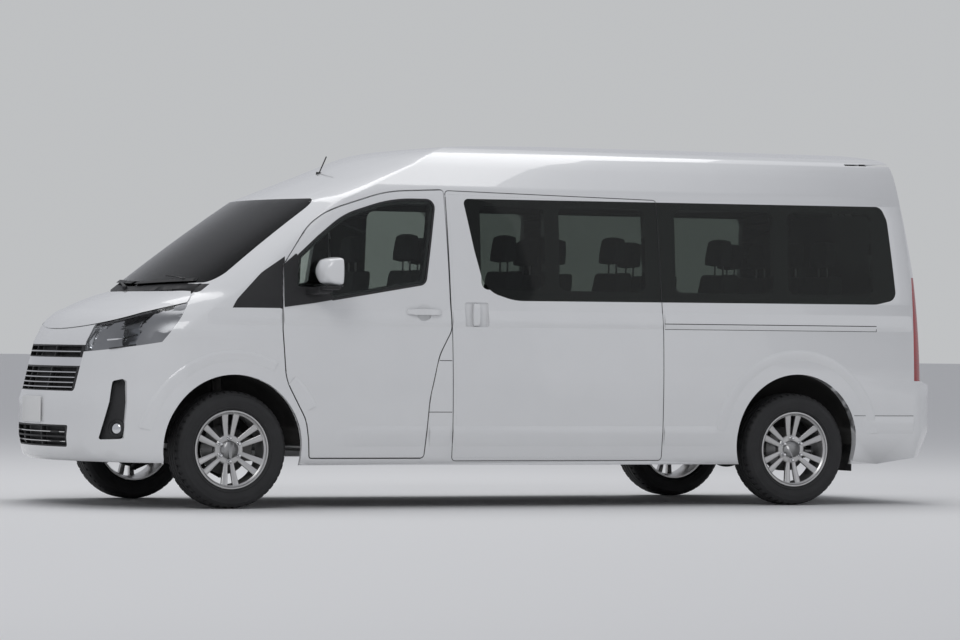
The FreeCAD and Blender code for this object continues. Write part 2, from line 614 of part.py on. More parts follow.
# Wheel houses: a rolled liner over each wheel with a flat inner wall.
LINER = 4
LINER_FRONT = 500
LINER_REAR = 690
LINER_FOOT = 385
LINER_END = 940
AXLE_ROOM = 60
BALL_Y = 758
BALL_Z = 225
STRUT_TOP_Y = 655
STRUT_TOP_Z = 780
STRUT_RADIUS = 30
house_form = body_form(size("wall") + FIT)
houses = []
house_voids = []
for axle_x, radius, lift, inner in (
        (FRONT_AXLE, size("arch_radius_front"), size("arch_lift_front"), LINER_FRONT),
        (REAR_AXLE, size("arch_radius_rear"), size("arch_lift_rear"), LINER_REAR)):
    for side in (LEFT, RIGHT):
        start = V(axle_x, side * inner, HUB_HEIGHT + lift)
        out = V(0, side, 0)
        shell = rod(start, start + out * (LINER_END - inner), radius + FIT + LINER)
        cavity = rod(start + out * LINER, start + out * 600, radius + FIT)
        above = block(axle_x - 600, axle_x + 600, -1000, 1000, LINER_FOOT, 1000)
        house = shell.cut(cavity).common(above).common(house_form)
        if axle_x == FRONT_AXLE:
            foot = V(axle_x, side * STRUT_TOP_Y, STRUT_TOP_Z)
            along = (foot - V(axle_x, side * BALL_Y, BALL_Z)).normalize()
            house = house.fuse(rod(foot + along * FIT, foot + along * 60, STRUT_RADIUS + 4).common(cavity))
        else:
            house = house.cut(block(axle_x - AXLE_ROOM, axle_x + AXLE_ROOM, -1000, 1000, 0,
                                    HUB_HEIGHT + AXLE_ROOM))
        houses.append(house)
        house_voids.append(rod(start - out * FIT, start + out * 500, radius + 2 * FIT + LINER))
keep(Part.makeCompound(houses), "wheel_houses")

# Floor with its frame rails, cross-members, hinge posts and the bulkhead in front of the cabin.
RAIL_TOP = FLOOR_FOOT
SEAT_IN = 10
BULKHEAD = (150, 180)
BULKHEAD_TOP = 1180
FOOTWELL_HALF = 490
SHELF_HALF = 860
SHELF_FOOT = 840
POST_Y = (815, 930)
POST_WEB_Y = (815, 845)
POST_Z = (830, 1080)
POST_WEB_FOOT = 850
HINGE_ARM_Y = (925, 957)
HINGE_TONGUE_Y = (945, 957)
SPRING_Y = 640
SPRING_WIDTH = 70
SPRING_THICK = 24
SPRING_HALF_LENGTH = 620
SPRING_END_TOP = HUB_HEIGHT + 30
HANGER_OFFSETS = (-610, 590)
HANGER_LENGTH = 20
RAIL_Y = (520, 580)
RAIL_DEPTH = 88
RAIL = (560, 4680)
JACK_PAD = (960, 1040)
JACK_PAD_DEPTH = 110
FRONT_RAIL_Y = (390, 450)
FRONT_RAIL_DEPTH = 80
FRONT_RAIL = (-800, 700)
CROSS_MEMBERS = (640, 1500, 2600, 3200, 4600)
CROSS_WIDTH = 60
CROSS_HALF = 560
floor_parts = [
    block(at(FLOOR_START), at(FLOOR_WIDENS), -DOORWAY_FLOOR_HALF, DOORWAY_FLOOR_HALF, FLOOR_FOOT, FLOOR_TOP),
    block(at(FLOOR_WIDENS) + FIT, at(4700) - FIT, -FLOOR_HALF + FIT, FLOOR_HALF - FIT, FLOOR_FOOT, FLOOR_TOP),
    block(at(FLOOR_WIDENS - SEAT_IN), at(FLOOR_WIDENS + SEAT_IN), -DOORWAY_FLOOR_HALF, DOORWAY_FLOOR_HALF,
          FLOOR_FOOT, FLOOR_TOP),
    block(at(BULKHEAD[0]), at(FLOOR_START + 5), -FOOTWELL_HALF, FOOTWELL_HALF, FLOOR_FOOT, FLOOR_TOP),
    block(at(BULKHEAD[0]), at(BULKHEAD[1]), -FOOTWELL_HALF, FOOTWELL_HALF, FLOOR_FOOT, BULKHEAD_TOP),
    block(at(BULKHEAD[0]), at(BULKHEAD[1]), -SHELF_HALF, SHELF_HALF, SHELF_FOOT, BULKHEAD_TOP),
]


def sided(side, x_from, x_to, y_pair, z_from, z_to):
    """A box on one side of the bus; y_pair is its near and far distance from the middle."""
    return block(x_from, x_to, *sorted(side * y for y in y_pair), z_from, z_to)


for side in (LEFT, RIGHT):
    floor_parts.append(sided(side, at(HINGE_POST[0]), at(HINGE_POST[1]), POST_Y, *POST_Z))
    floor_parts.append(sided(side, at(BULKHEAD[0]), at(HINGE_POST[1]), POST_WEB_Y, POST_WEB_FOOT, POST_Z[1]))
    for height in DOOR_HINGES:
        low = height - EYE_HALF
        high = height + EYE_HALF
        floor_parts.append(sided(side, at(HINGE_POST[0]), at(HINGE_POST[1]), HINGE_ARM_Y, low, high))
        floor_parts.append(sided(side, at(HINGE_POST[1] - 5), PIN_X, HINGE_TONGUE_Y, low, high))
        floor_parts.append(rod(V(PIN_X, side * PIN_Y, low), V(PIN_X, side * PIN_Y, high), EYE_RADIUS))
    spring_y = (SPRING_Y - SPRING_WIDTH / 2, SPRING_Y + SPRING_WIDTH / 2)
    for offset in HANGER_OFFSETS:
        start = REAR_AXLE + offset
        floor_parts.append(sided(side, start, start + HANGER_LENGTH, spring_y, SPRING_END_TOP,
                                 FLOOR_FOOT + SEAT_IN))
    floor_parts.append(sided(side, at(RAIL[0]), at(RAIL[1]), RAIL_Y, RAIL_TOP - RAIL_DEPTH,
                             RAIL_TOP + SEAT_IN))
    floor_parts.append(sided(side, at(JACK_PAD[0]), at(JACK_PAD[1]), RAIL_Y, RAIL_TOP - JACK_PAD_DEPTH,
                             RAIL_TOP - RAIL_DEPTH + SEAT_IN))
    floor_parts.append(sided(side, at(FRONT_RAIL[0]), at(FRONT_RAIL[1]), FRONT_RAIL_Y,
                             RAIL_TOP - FRONT_RAIL_DEPTH, RAIL_TOP + SEAT_IN))
for station in CROSS_MEMBERS:
    floor_parts.append(block(at(station), at(station + CROSS_WIDTH), -CROSS_HALF, CROSS_HALF, RAIL_TOP - 60,
                             RAIL_TOP + SEAT_IN))
pin_holes = [rod(V(PIN_X, side * PIN_Y, 600), V(PIN_X, side * PIN_Y, 1100), PIN_RADIUS + RUNNING)
             for side in (LEFT, RIGHT)]
floor_pan = joined(floor_parts).cut(Part.makeCompound(house_voids)).cut(Part.makeCompound(pin_holes))
keep(solids_of(floor_pan), "floor_pan")

# Dashboard, across the cabin in front of the doors.
DASH = [(-40, 1230, 0), (-40, 1296, 20), (120, 1325, 200), (330, 1290, 60), (400, 1180, 40), (375, 1000, 60),
        (300, 900, 20), (180 + FIT, 900, 0), (180 + FIT, 1180 + FIT, 0), (-40, 1180 + FIT, 0)]
WHEEL_Y = 430
COLUMN_TILT = 38
DASH_HALF = 812
wheel_middle = V(at(620), WHEEL_Y, 1215)
column_axis = V(-math.cos(math.radians(COLUMN_TILT)), 0, -math.sin(math.radians(COLUMN_TILT)))
column_start = wheel_middle + column_axis * (60 + FIT)
column = rod(column_start, column_start + column_axis * 330, 38)
dash = wall_inside.common(side_cut(DASH, -DASH_HALF, DASH_HALF)).fuse(column)
keep(solids_of(dash), "dashboard")

# Seats: where their heads are, behind the front axle, and their places across.
SEAT_HALF = size("seat_width") / 2 - 15
HEAD_HALF = 130
SEAT_ROWS = [(1354, (-430, 430)), (1930, (-640, 215, 640)), (2690, (-640, 215, 640)),
             (3450, (-640, 215, 640)), (4210, (-640, -215, 215, 640))]
SEAT_SIDE = [(-565, 860, 40), (-565, 985, 50), (-190, 965, 40), (-70, 1500, 50), (40, 1500, 40),
             (-60, 860, 60)]
HEAD_SIDE = [(-60, 1520, 30), (-45, 1710, 50), (55, 1710, 50), (50, 1520, 30)]
SEAT_FOOT = 860
NECK = (15, 40, 1490, 1530)
LEG = (-520, -150)
LEG_SLOT = (-460, -210)
LEG_SLOT_TOP = 800
LEG_HALF = 170
LEG_LIMITS = (30, 680)
soft_front = []
soft_rear = []
legs = []
for row, (head, places) in enumerate(SEAT_ROWS):
    for y in places:
        shape = [(head + a, b, c) for a, b, c in SEAT_SIDE]
        crown = [(head + a, b, c) for a, b, c in HEAD_SIDE]
        cushion = side_cut(shape, y - SEAT_HALF, y + SEAT_HALF)
        neck_half_x, neck_half_y, neck_foot, neck_top = NECK
        neck = block(at(head - neck_half_x), at(head + neck_half_x), y - neck_half_y, y + neck_half_y,
                     neck_foot, neck_top)
        rest = side_cut(crown, y - HEAD_HALF, y + HEAD_HALF)
        seat = cushion.fuse([neck, rest])
        if row == 0:
            soft_front.append(seat)
        else:
            soft_rear.append(seat)
        near = math.copysign(max(abs(y) - LEG_HALF, LEG_LIMITS[0]), y)
        far = math.copysign(min(abs(y) + LEG_HALF, LEG_LIMITS[1]), y)
        leg = block(at(head + LEG[0]), at(head + LEG[1]), *sorted((near, far)), FLOOR_TOP + FIT,
                    SEAT_FOOT - FIT)
        slot = block(at(head + LEG_SLOT[0]), at(head + LEG_SLOT[1]), -1000, 1000, FLOOR_TOP + 60,
                     LEG_SLOT_TOP)
        legs.append(leg.cut(slot))
keep(Part.makeCompound(soft_front), "front_seats")
keep(Part.makeCompound(soft_rear), "rear_seats")
keep(Part.makeCompound(legs), "seat_frames")

# Engine as one plain block, propeller shaft, rear axle, springs, tank and exhaust.
def primitive(kind, name, corner, turned=None, **cells):
    """A primitive whose sizes come from the sheet's cells, placed at a corner or an axis start."""
    item = doc.addObject(kind, name)
    item.Label = name
    for prop, cell in cells.items():
        item.setExpression(prop, "sizes." + cell)
    item.Placement = FreeCAD.Placement(corner, turned or FreeCAD.Rotation())
    return item


ENGINE_FRONT = -590
ENGINE_FOOT = 440
TANK_FRONT = 1640
TANK_INNER = 60
GEARBOX_HALF = 130
GEARBOX_FOOT = 330
GEARBOX_END = 600
engine = primitive("Part::Box", "engine", V(at(ENGINE_FRONT), -size("engine_width") / 2, ENGINE_FOOT),
                   Length="engine_length", Width="engine_width", Height="engine_height")
nodes.append(engine)
TANK_FOOT = FLOOR_FOOT - size("tank_height") - FIT
tank = primitive("Part::Box", "fuel_tank", V(at(TANK_FRONT), TANK_INNER, TANK_FOOT),
                 Length="tank_length", Width="tank_width", Height="tank_height")
nodes.append(tank)
DIFF_RADIUS = 140
STUB_RADIUS = 30
shaft_start = V(at(GEARBOX_END - 10), 0, 380)
shaft_end = V(REAR_AXLE - DIFF_RADIUS + 10, 0, HUB_HEIGHT)
propshaft = rod(shaft_start, shaft_end, size("propshaft_diameter") / 2)
gearbox = block(at(ENGINE_FRONT + size("engine_length")) + FIT, at(GEARBOX_END), -GEARBOX_HALF, GEARBOX_HALF,
                GEARBOX_FOOT, FLOOR_FOOT - FIT)
tube_end = size("track") / 2 - 97
TUBE_RADIUS = size("axle_tube_diameter") / 2
tube = rod(V(REAR_AXLE, -tube_end, HUB_HEIGHT), V(REAR_AXLE, tube_end, HUB_HEIGHT), TUBE_RADIUS)
diff = Part.makeSphere(DIFF_RADIUS, V(REAR_AXLE, 0, HUB_HEIGHT))
keep(joined([propshaft, gearbox]).cut(diff), "propshaft")
rear_bores = [rod(V(REAR_AXLE, side * (tube_end - 30), HUB_HEIGHT), V(REAR_AXLE, side * 800, HUB_HEIGHT),
                  STUB_RADIUS + RUNNING) for side in (LEFT, RIGHT)]
keep(joined([tube, diff]).cut(Part.makeCompound(rear_bores)), "rear_axle")
springs = []
thickness = V(0, 0, SPRING_THICK)
for side in (LEFT, RIGHT):
    spring_y = side * SPRING_Y - SPRING_WIDTH / 2
    start = V(REAR_AXLE - SPRING_HALF_LENGTH, spring_y, SPRING_END_TOP)
    end = V(REAR_AXLE + SPRING_HALF_LENGTH, spring_y, SPRING_END_TOP)
    low = V(REAR_AXLE, spring_y, HUB_HEIGHT - TUBE_RADIUS - FIT - SPRING_THICK)
    top_arc = Part.Arc(start, low + thickness, end).toShape()
    foot_arc = Part.Arc(start - thickness, low, end - thickness).toShape()
    loop = Part.Wire(Part.__sortEdges__([top_arc, foot_arc, Part.makeLine(start, start - thickness),
                                        Part.makeLine(end, end - thickness)]))
    springs.append(Part.Face(loop).extrude(V(0, SPRING_WIDTH, 0)))
keep(Part.makeCompound(springs), "rear_springs")


# Wheels. Each is made about its own axis Z with its outside towards +Z, then turned into place.
TURN_LEFT = FreeCAD.Rotation(V(1, 0, 0), 90)
TURN_RIGHT = FreeCAD.Rotation(V(1, 0, 0), -90)
RIM_RADIUS = size("rim_diameter") / 2
RIM_HALF = size("rim_width") / 2
WELL = size("well_diameter") / 2
BORE = size("hub_bore_diameter") / 2
MOUNT = 10
HUB_PAD = 60
STUD_ANGLE = 30
CORNERS = {
    "front_left": (FRONT_AXLE, LEFT),
    "front_right": (FRONT_AXLE, RIGHT),
    "rear_left": (REAR_AXLE, LEFT),
    "rear_right": (REAR_AXLE, RIGHT),
}
TYRE_HALF = size("tyre_width") / 2
TYRE_SHAPE = [(RIM_RADIUS + FIT, RIM_HALF - 4), (RIM_RADIUS + 22, RIM_HALF + 10),
              (RIM_RADIUS + 58, TYRE_HALF), (HUB_HEIGHT - 22, TYRE_HALF - 12),
              (HUB_HEIGHT, TYRE_HALF - 38), (HUB_HEIGHT, 38 - TYRE_HALF),
              (HUB_HEIGHT - 22, 12 - TYRE_HALF), (RIM_RADIUS + 58, -TYRE_HALF),
              (RIM_RADIUS + 22, -RIM_HALF - 10), (RIM_RADIUS + FIT, 4 - RIM_HALF)]
RIM_SHAPE = [(BORE, MOUNT), (BORE, HUB_PAD - 6), (86, HUB_PAD), (98, HUB_PAD - 12), (WELL + 2, RIM_HALF - 18),
             (RIM_RADIUS - 9, RIM_HALF), (RIM_RADIUS, RIM_HALF), (RIM_RADIUS, -RIM_HALF),
             (RIM_RADIUS - 9, -RIM_HALF), (WELL, RIM_HALF - 48), (98, MOUNT + 6), (90, MOUNT)]


def plane_of(body, role):
    """An origin plane of a body by its role."""
    return [item for item in body.Origin.OriginFeatures if item.Role == role][0]


def sketch_of(body, role, name, loops):
    """A sketch on a body's own plane with closed loops of straight lines."""
    sketch = body.newObject("Sketcher::SketchObject", name)
    sketch.AttachmentSupport = [(plane_of(body, role), "")]
    sketch.MapMode = "FlatFace"
    for loop in loops:
        for i, (a, b) in enumerate(loop):
            c, d = loop[(i + 1) % len(loop)]
            sketch.addGeometry(Part.LineSegment(V(a, b, 0), V(c, d, 0)))
    return sketch


def turned_body(name, loop):
    """A body turned about its own Z from a closed loop (radius, height)."""
    body = doc.addObject("PartDesign::Body", name)
    body.Label = name
    sketch = sketch_of(body, "XZ_Plane", name + "_profile", [loop])
    turned = body.newObject("PartDesign::Revolution", name + "_turned")
    turned.Profile = sketch
    turned.ReferenceAxis = (sketch, ["V_Axis"])
    turned.Angle = 360
    return body


def window(inner, outer_radius, half_inner, half_outer, angle):
    """A four-cornered window in a rim's web, as points in its plane."""
    corners = []
    for radius, turn in ((inner, -half_inner), (outer_radius, -half_outer), (outer_radius, half_outer),
                         (inner, half_inner)):
        theta = math.radians(angle + turn)
        corners.append((radius * math.cos(theta), radius * math.sin(theta)))
    return corners


def patterned_pocket(body, name, loops, depth, copies):
    """Cut loops through the web from above and repeat them round the axis."""
    sketch = sketch_of(body, "XY_Plane", name + "_plan", loops)
    pocket = body.newObject("PartDesign::Pocket", name)
    pocket.Profile = sketch
    pocket.Type = 0
    pocket.Length = depth
    pocket.Reversed = True
    pattern = body.newObject("PartDesign::PolarPattern", name + "_round")
    pattern.Originals = [pocket]
    pattern.Axis = (sketch, ["N_Axis"])
    pattern.Angle = 360
    pattern.Occurrences = copies
    body.Tip = pattern
    return pattern


def octagon(radius, x, y):
    """Eight points round a small hole."""
    turns = [math.radians(22.5 + 45 * i) for i in range(8)]
    return [(x + radius * math.cos(turn), y + radius * math.sin(turn)) for turn in turns]


def rim(name):
    """A cast rim with six twin spokes and six stud holes."""
    body = turned_body(name, RIM_SHAPE)
    wide = window(104, WELL - 10, 10.5, 14.5, 0)
    slot = window(120, WELL - 10, 2.8, 4.6, 30)
    patterned_pocket(body, name + "_windows", [wide, slot], 200, int(size("lug_count")))
    stud_circle = size("lug_circle_diameter") / 2
    turn = math.radians(STUD_ANGLE)
    hole = octagon(size("lug_hole_diameter") / 2, stud_circle * math.cos(turn), stud_circle * math.sin(turn))
    patterned_pocket(body, name + "_stud_holes", [hole], 200, int(size("lug_count")))
    return body


DISC_FACE = -22
STUB_END = -120
FLANGE_RADIUS = 84
DRUM_DEPTH = 70
DRUM_RADIUS = 140
STUD_RADIUS = 6
NUT_RADIUS = 11
NUT_HEIGHT = 18


def hub(axle):
    """Hub with its stub, studs and nuts, and a brake disc in front or a drum behind."""
    flange = rod(V(0, 0, DISC_FACE), V(0, 0, MOUNT - FIT), FLANGE_RADIUS)
    nose = rod(V(0, 0, MOUNT - FIT), V(0, 0, HUB_PAD + 14), BORE - 1)
    stub = rod(V(0, 0, STUB_END), V(0, 0, DISC_FACE), STUB_RADIUS)
    parts = [nose, stub]
    if axle == FRONT_AXLE:
        thickness = size("disc_thickness")
        parts.append(rod(V(0, 0, DISC_FACE - thickness), V(0, 0, DISC_FACE), size("disc_diameter") / 2))
    else:
        parts.append(rod(V(0, 0, DISC_FACE - DRUM_DEPTH), V(0, 0, DISC_FACE), DRUM_RADIUS))
    stud_circle = size("lug_circle_diameter") / 2
    for i in range(int(size("lug_count"))):
        theta = math.radians(STUD_ANGLE) + 2 * math.pi * i / size("lug_count")
        foot = V(stud_circle * math.cos(theta), stud_circle * math.sin(theta), 0)
        parts.append(rod(foot, foot + V(0, 0, HUB_PAD + 2), STUD_RADIUS))
        turns = [k * math.pi / 3 for k in range(7)]
        corners = [foot + V(NUT_RADIUS * math.cos(turn), NUT_RADIUS * math.sin(turn), HUB_PAD + FIT)
                   for turn in turns]
        parts.append(Part.Face(Part.makePolygon(corners)).extrude(V(0, 0, NUT_HEIGHT)))
    return joined([flange] + parts)


TRACK_HALF = size("track") / 2
for corner, (axle_x, side) in CORNERS.items():
    turn = TURN_LEFT if side == LEFT else TURN_RIGHT
    place = FreeCAD.Placement(V(axle_x, side * TRACK_HALF, HUB_HEIGHT), turn)
    tyre = turned_body("tyre_" + corner, TYRE_SHAPE)
    tyre.Placement = place
    wheel = rim("rim_" + corner)
    wheel.Placement = place
    nodes.extend([tyre, wheel])
    hub_piece = keep(hub(axle_x), "hub_" + corner)
    hub_piece.Placement = place
doc.recompute()

# Knuckles turn on a line from the lower ball joint to the top of the strut.
CARRIER_RADIUS = 58
POST_RADIUS = 20
CALIPER = (95, 165, 70)
BRACKET = (30, 130, 40)
DISC_GAP = 5
for side, name in ((LEFT, "left"), (RIGHT, "right")):
    ball = V(FRONT_AXLE, side * BALL_Y, BALL_Z)
    top = V(FRONT_AXLE, side * STRUT_TOP_Y, STRUT_TOP_Z)
    along = (top - ball).normalize()
    hub_in = V(FRONT_AXLE, side * (TRACK_HALF + STUB_END), HUB_HEIGHT)
    carrier = rod(hub_in + V(0, side * 2, 0), hub_in + V(0, side * 64, 0), CARRIER_RADIUS)
    post = rod(ball, ball + along * 300, POST_RADIUS)
    tube = rod(ball + along * 250, top, STRUT_RADIUS)
    caliper_out = hub_in.y + side * (-STUB_END + DISC_FACE)
    pad_y = sorted((caliper_out - side * (size("disc_thickness") + 30), caliper_out + side * 24))
    front, rear, half = CALIPER
    caliper = block(FRONT_AXLE + front, FRONT_AXLE + rear, *pad_y, HUB_HEIGHT - half, HUB_HEIGHT + half)
    disc_y = sorted((caliper_out - side * (size("disc_thickness") + DISC_GAP), caliper_out + side * DISC_GAP))
    gap = rod(V(FRONT_AXLE, disc_y[0], HUB_HEIGHT), V(FRONT_AXLE, disc_y[1], HUB_HEIGHT),
              size("disc_diameter") / 2 + DISC_GAP)
    bracket_y = sorted((hub_in.y + side * 10, hub_in.y + side * 60))
    front, rear, half = BRACKET
    bracket = block(FRONT_AXLE + front, FRONT_AXLE + rear, *bracket_y, HUB_HEIGHT - half, HUB_HEIGHT + half)
    bore = rod(hub_in - V(0, side * 30, 0), hub_in + V(0, side * 100, 0), STUB_RADIUS + RUNNING)
    knuckle = joined([carrier, post, tube, bracket, caliper.cut(gap)]).cut(bore)
    keep(solids_of(knuckle), "knuckle_" + name)

# Front cross-member with its lower arms, which end under the ball joints.
MEMBER_HALF_LENGTH = 90
MEMBER_HALF = 470
MEMBER_Z = (250, 330)
ARM_RADIUS = 12
ARM_SPREAD = 70
TOWER_Y = (395, 445)
TOWER_HALF = 40
TOWER_FOOT = 320
arms = [block(FRONT_AXLE - MEMBER_HALF_LENGTH, FRONT_AXLE + MEMBER_HALF_LENGTH, -MEMBER_HALF, MEMBER_HALF,
              *MEMBER_Z)]
for side in (LEFT, RIGHT):
    ball = V(FRONT_AXLE, side * BALL_Y, BALL_Z)
    along = (V(FRONT_AXLE, side * STRUT_TOP_Y, STRUT_TOP_Z) - ball).normalize()
    for offset in (-ARM_SPREAD, ARM_SPREAD):
        inner_end = V(FRONT_AXLE + offset, side * 440, 280)
        outer_end = ball - along * 28 + V(offset / 5, side * -6, 0)
        arms.append(rod(inner_end, outer_end, ARM_RADIUS))
    arms.append(rod(ball - along * 40, ball - along * FIT, POST_RADIUS))
    arms.append(sided(side, FRONT_AXLE - TOWER_HALF, FRONT_AXLE + TOWER_HALF, TOWER_Y, TOWER_FOOT,
                      RAIL_TOP - FRONT_RAIL_DEPTH - FIT))
keep(joined(arms), "front_subframe")

# Exhaust pipe: straight runs joined by arcs, with its muffler.
ROUTE = [(120, -330, 380), (1500, -250, 335), (3500, -250, 335), (3860, -250, 470), (4250, -300, 335),
         (4750, -360, 330)]
points = [V(at(a), b, c) for a, b, c in ROUTE]
edges = []
start = points[0]
for i in range(1, len(points) - 1):
    to_last = (points[i - 1] - points[i]).normalize()
    to_next = (points[i + 1] - points[i]).normalize()
    half = to_last.getAngle(to_next) / 2
    back = min(220 / math.tan(half), 0.45 * (points[i + 1] - points[i]).Length)
    bend = back * math.tan(half)
    crest = points[i] + (to_last + to_next).normalize() * (bend / math.sin(half) - bend)
    edges.append(Part.makeLine(start, points[i] + to_last * back))
    edges.append(Part.Arc(points[i] + to_last * back, crest, points[i] + to_next * back).toShape())
    start = points[i] + to_next * back
edges.append(Part.makeLine(start, points[-1]))
run = Part.Wire(edges)
ring = Part.Wire(Part.makeCircle(size("exhaust_diameter") / 2, points[0], points[1] - points[0]))
pipe = run.makePipeShell([ring], True, True)
PIPE_Y = -250
PIPE_Z = 335
MUFFLER = (2300, 2900)
MUFFLER_RADIUS = 95
HANGER = (2610, 2650)
muffler = rod(V(at(MUFFLER[0]), PIPE_Y, PIPE_Z), V(at(MUFFLER[1]), PIPE_Y, PIPE_Z), MUFFLER_RADIUS)
hanger = block(at(HANGER[0]), at(HANGER[1]), PIPE_Y - 20, PIPE_Y + 20, 400, FLOOR_FOOT - 60 - FIT)
keep(joined([pipe, muffler, hanger]), "exhaust")
FLAP = (4300, 4306)
FLAP_Y = (700, 880)
FLAP_FOOT = 215
flaps = [sided(side, at(FLAP[0]), at(FLAP[1]), FLAP_Y, FLAP_FOOT, FLOOR_FOOT - FIT) for side in (LEFT, RIGHT)]
keep(Part.makeCompound(flaps), "mud_flaps")

# Mirrors on short arms from the doors' belts.
MIRROR_CASE = [(470, 1332, 30), (470, 1500, 60), (600, 1532, 40), (604, 1332, 30)]
MIRROR_CASE_Y = (1000, 1232)
MIRROR_ARM = [(450, 1288, 10), (560, 1296, 10), (575, 1345, 10), (490, 1345, 10)]
MIRROR_ARM_Y = (900, 1080)
for side, name in ((LEFT, "left"), (RIGHT, "right")):
    case = side_cut(MIRROR_CASE, *[side * y for y in MIRROR_CASE_Y])
    arm = side_cut(MIRROR_ARM, *[side * y for y in MIRROR_ARM_Y])
    arm = arm.cut(outer.translated(V(0, side * FIT, 0)))
    keep(solids_of(joined([case, arm])), "mirror_" + name)

# Steering wheel on its column, on the right.
GRIP_RADIUS = 15
BOSS_RADIUS = 55
SPOKE_RADIUS = 11
rim_radius = size("steering_wheel_diameter") / 2
ring = Part.makeTorus(rim_radius - GRIP_RADIUS, GRIP_RADIUS, wheel_middle, column_axis)
boss = rod(wheel_middle - column_axis * 5, wheel_middle + column_axis * 60, BOSS_RADIUS)
spokes = [ring, boss]
across = V(0, 1, 0)
down = column_axis.cross(across)
for turn in (0, 180, 90):
    theta = math.radians(turn)
    way = across * math.cos(theta) + down * math.sin(theta)
    spokes.append(rod(wheel_middle + way * 40 + column_axis * 20, wheel_middle + way * (rim_radius - 18),
                      SPOKE_RADIUS))
keep(joined(spokes), "steering_wheel")

# Wipers park along the foot of the windscreen; the aerial stands on the roof.
glass_out = V(-0.576, 0, 0.817)
BLADE_HEIGHT = 14
blade_layer = outer.translated(glass_out * BLADE_HEIGHT).cut(outer.translated(glass_out * FIT))
blades = [rear_cut([(-660, 1376, 0), (-650, 1394, 0), (-60, 1372, 0), (-50, 1358, 0)], at(-500), at(100)),
          rear_cut([(10, 1362, 0), (0, 1376, 0), (590, 1390, 0), (600, 1372, 0)], at(-500), at(100))]
keep(solids_of(blade_layer.common(Part.makeCompound(blades))), "wipers")
foot = V(at(930), 0, 2050)
aerial = joined([rod(foot, foot + V(60, 0, 130), 4), rod(foot - V(0, 0, 40), foot + V(8, 0, 30), 16)])
keep(aerial.cut(outer.translated(V(0, 0, FIT))), "antenna")

doc.recompute()
failed = [item.Name for item in doc.Objects if "Invalid" in item.State or "Error" in item.State]
for piece in nodes:
    if piece.Shape.isNull() or not piece.Shape.isValid() or not piece.Shape.Solids:
        failed.append(piece.Label)
    print(piece.Label, len(piece.Shape.Solids), round(piece.Shape.Volume / 1e6, 2), "litres")
if failed:
    raise RuntimeError("failed pieces: " + ", ".join(failed))
for piece in nodes:
    piece.Shape.exportStep("parts/" + piece.Label + ".step")
print(len(nodes), "nodes")
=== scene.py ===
# %% [markdown]
# # A high-roofed minibus
# This lesson dresses a imported CAD model of a minibus. The CAD pieces fix every size and place, in
# metres: +X points to the rear, +Y to the right, +Z up, and the origin is on the ground under the
# middle of the bus. First the frame is loaded.

# %% Load the frame
import json
import math

import bpy
from mathutils import Matrix, Vector
from mathutils.bvhtree import BVHTree


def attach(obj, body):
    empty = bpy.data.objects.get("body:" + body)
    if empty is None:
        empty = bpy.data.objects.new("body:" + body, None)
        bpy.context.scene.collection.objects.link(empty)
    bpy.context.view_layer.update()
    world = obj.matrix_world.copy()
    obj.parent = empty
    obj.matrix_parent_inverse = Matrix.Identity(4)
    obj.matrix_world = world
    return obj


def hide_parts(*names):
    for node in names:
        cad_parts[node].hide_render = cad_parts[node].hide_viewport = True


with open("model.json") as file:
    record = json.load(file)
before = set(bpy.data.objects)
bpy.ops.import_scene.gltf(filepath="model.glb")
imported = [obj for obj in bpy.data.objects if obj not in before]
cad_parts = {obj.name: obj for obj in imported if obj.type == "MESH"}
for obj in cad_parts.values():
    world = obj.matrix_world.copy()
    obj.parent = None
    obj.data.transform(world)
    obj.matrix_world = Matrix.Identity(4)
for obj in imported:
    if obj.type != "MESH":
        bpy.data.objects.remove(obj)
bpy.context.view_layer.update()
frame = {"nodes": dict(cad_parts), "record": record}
nodes = frame["nodes"]
body_of_node = {}
for body_name, members in frame["record"]["behaviour"]["bodies"].items():
    for member in members:
        body_of_node[member] = body_name
slot_of_node = {entry["node"]: entry["material_slot"] for entry in frame["record"]["subparts"]}

# %% [markdown]
# Places along the bus are easiest to say as distances behind the front axle, because that is how
# they are measured on a drawing. One short function turns such a distance into X.

# %% Where things are along the bus
FRONT_AXLE_X = -2.0075
REAR_AXLE_X = FRONT_AXLE_X + 3.860
HUB_HEIGHT = 0.356
LEFT = -1
RIGHT = 1


def at(station):
    """X of a place given in metres behind the front axle."""
    return station + FRONT_AXLE_X


# %% [markdown]
# Modelling operators act on whatever is selected, so every step starts with nothing selected. A
# finished piece gets its name, its finish and the body that it moves with, and its own place goes
# into its mesh so that its object stays at the origin.

# %% Helpers for selecting and finishing
def clear_selection():
    """Nothing is selected and no object is in edit mode."""
    if bpy.context.object and bpy.context.object.mode != "OBJECT":
        bpy.ops.object.mode_set(mode="OBJECT")
    bpy.ops.object.select_all(action="DESELECT")


def only(piece):
    """This piece alone is selected and active."""
    clear_selection()
    piece.select_set(True)
    bpy.context.view_layer.objects.active = piece


def edit_all():
    """Edit mode on the active piece, with all of it selected."""
    bpy.ops.object.mode_set(mode="EDIT")
    bpy.ops.mesh.select_all(action="SELECT")


def leave_edit():
    """Back to object mode."""
    bpy.ops.object.mode_set(mode="OBJECT")


def turn_out():
    """Turn every face of the piece in edit mode outwards."""
    bpy.ops.mesh.select_all(action="SELECT")
    bpy.ops.mesh.normals_make_consistent(inside=False)


def settle(piece):
    """The piece's place, turn and scale go into its mesh."""
    only(piece)
    bpy.ops.object.transform_apply(location=True, rotation=True, scale=True)
    return piece


def aimed(piece, place, aim):
    """Turn a piece's Z axis along a direction and move it to a place."""
    piece.rotation_euler = aim.to_track_quat("Z", "Y").to_euler()
    piece.location = place
    return settle(piece)


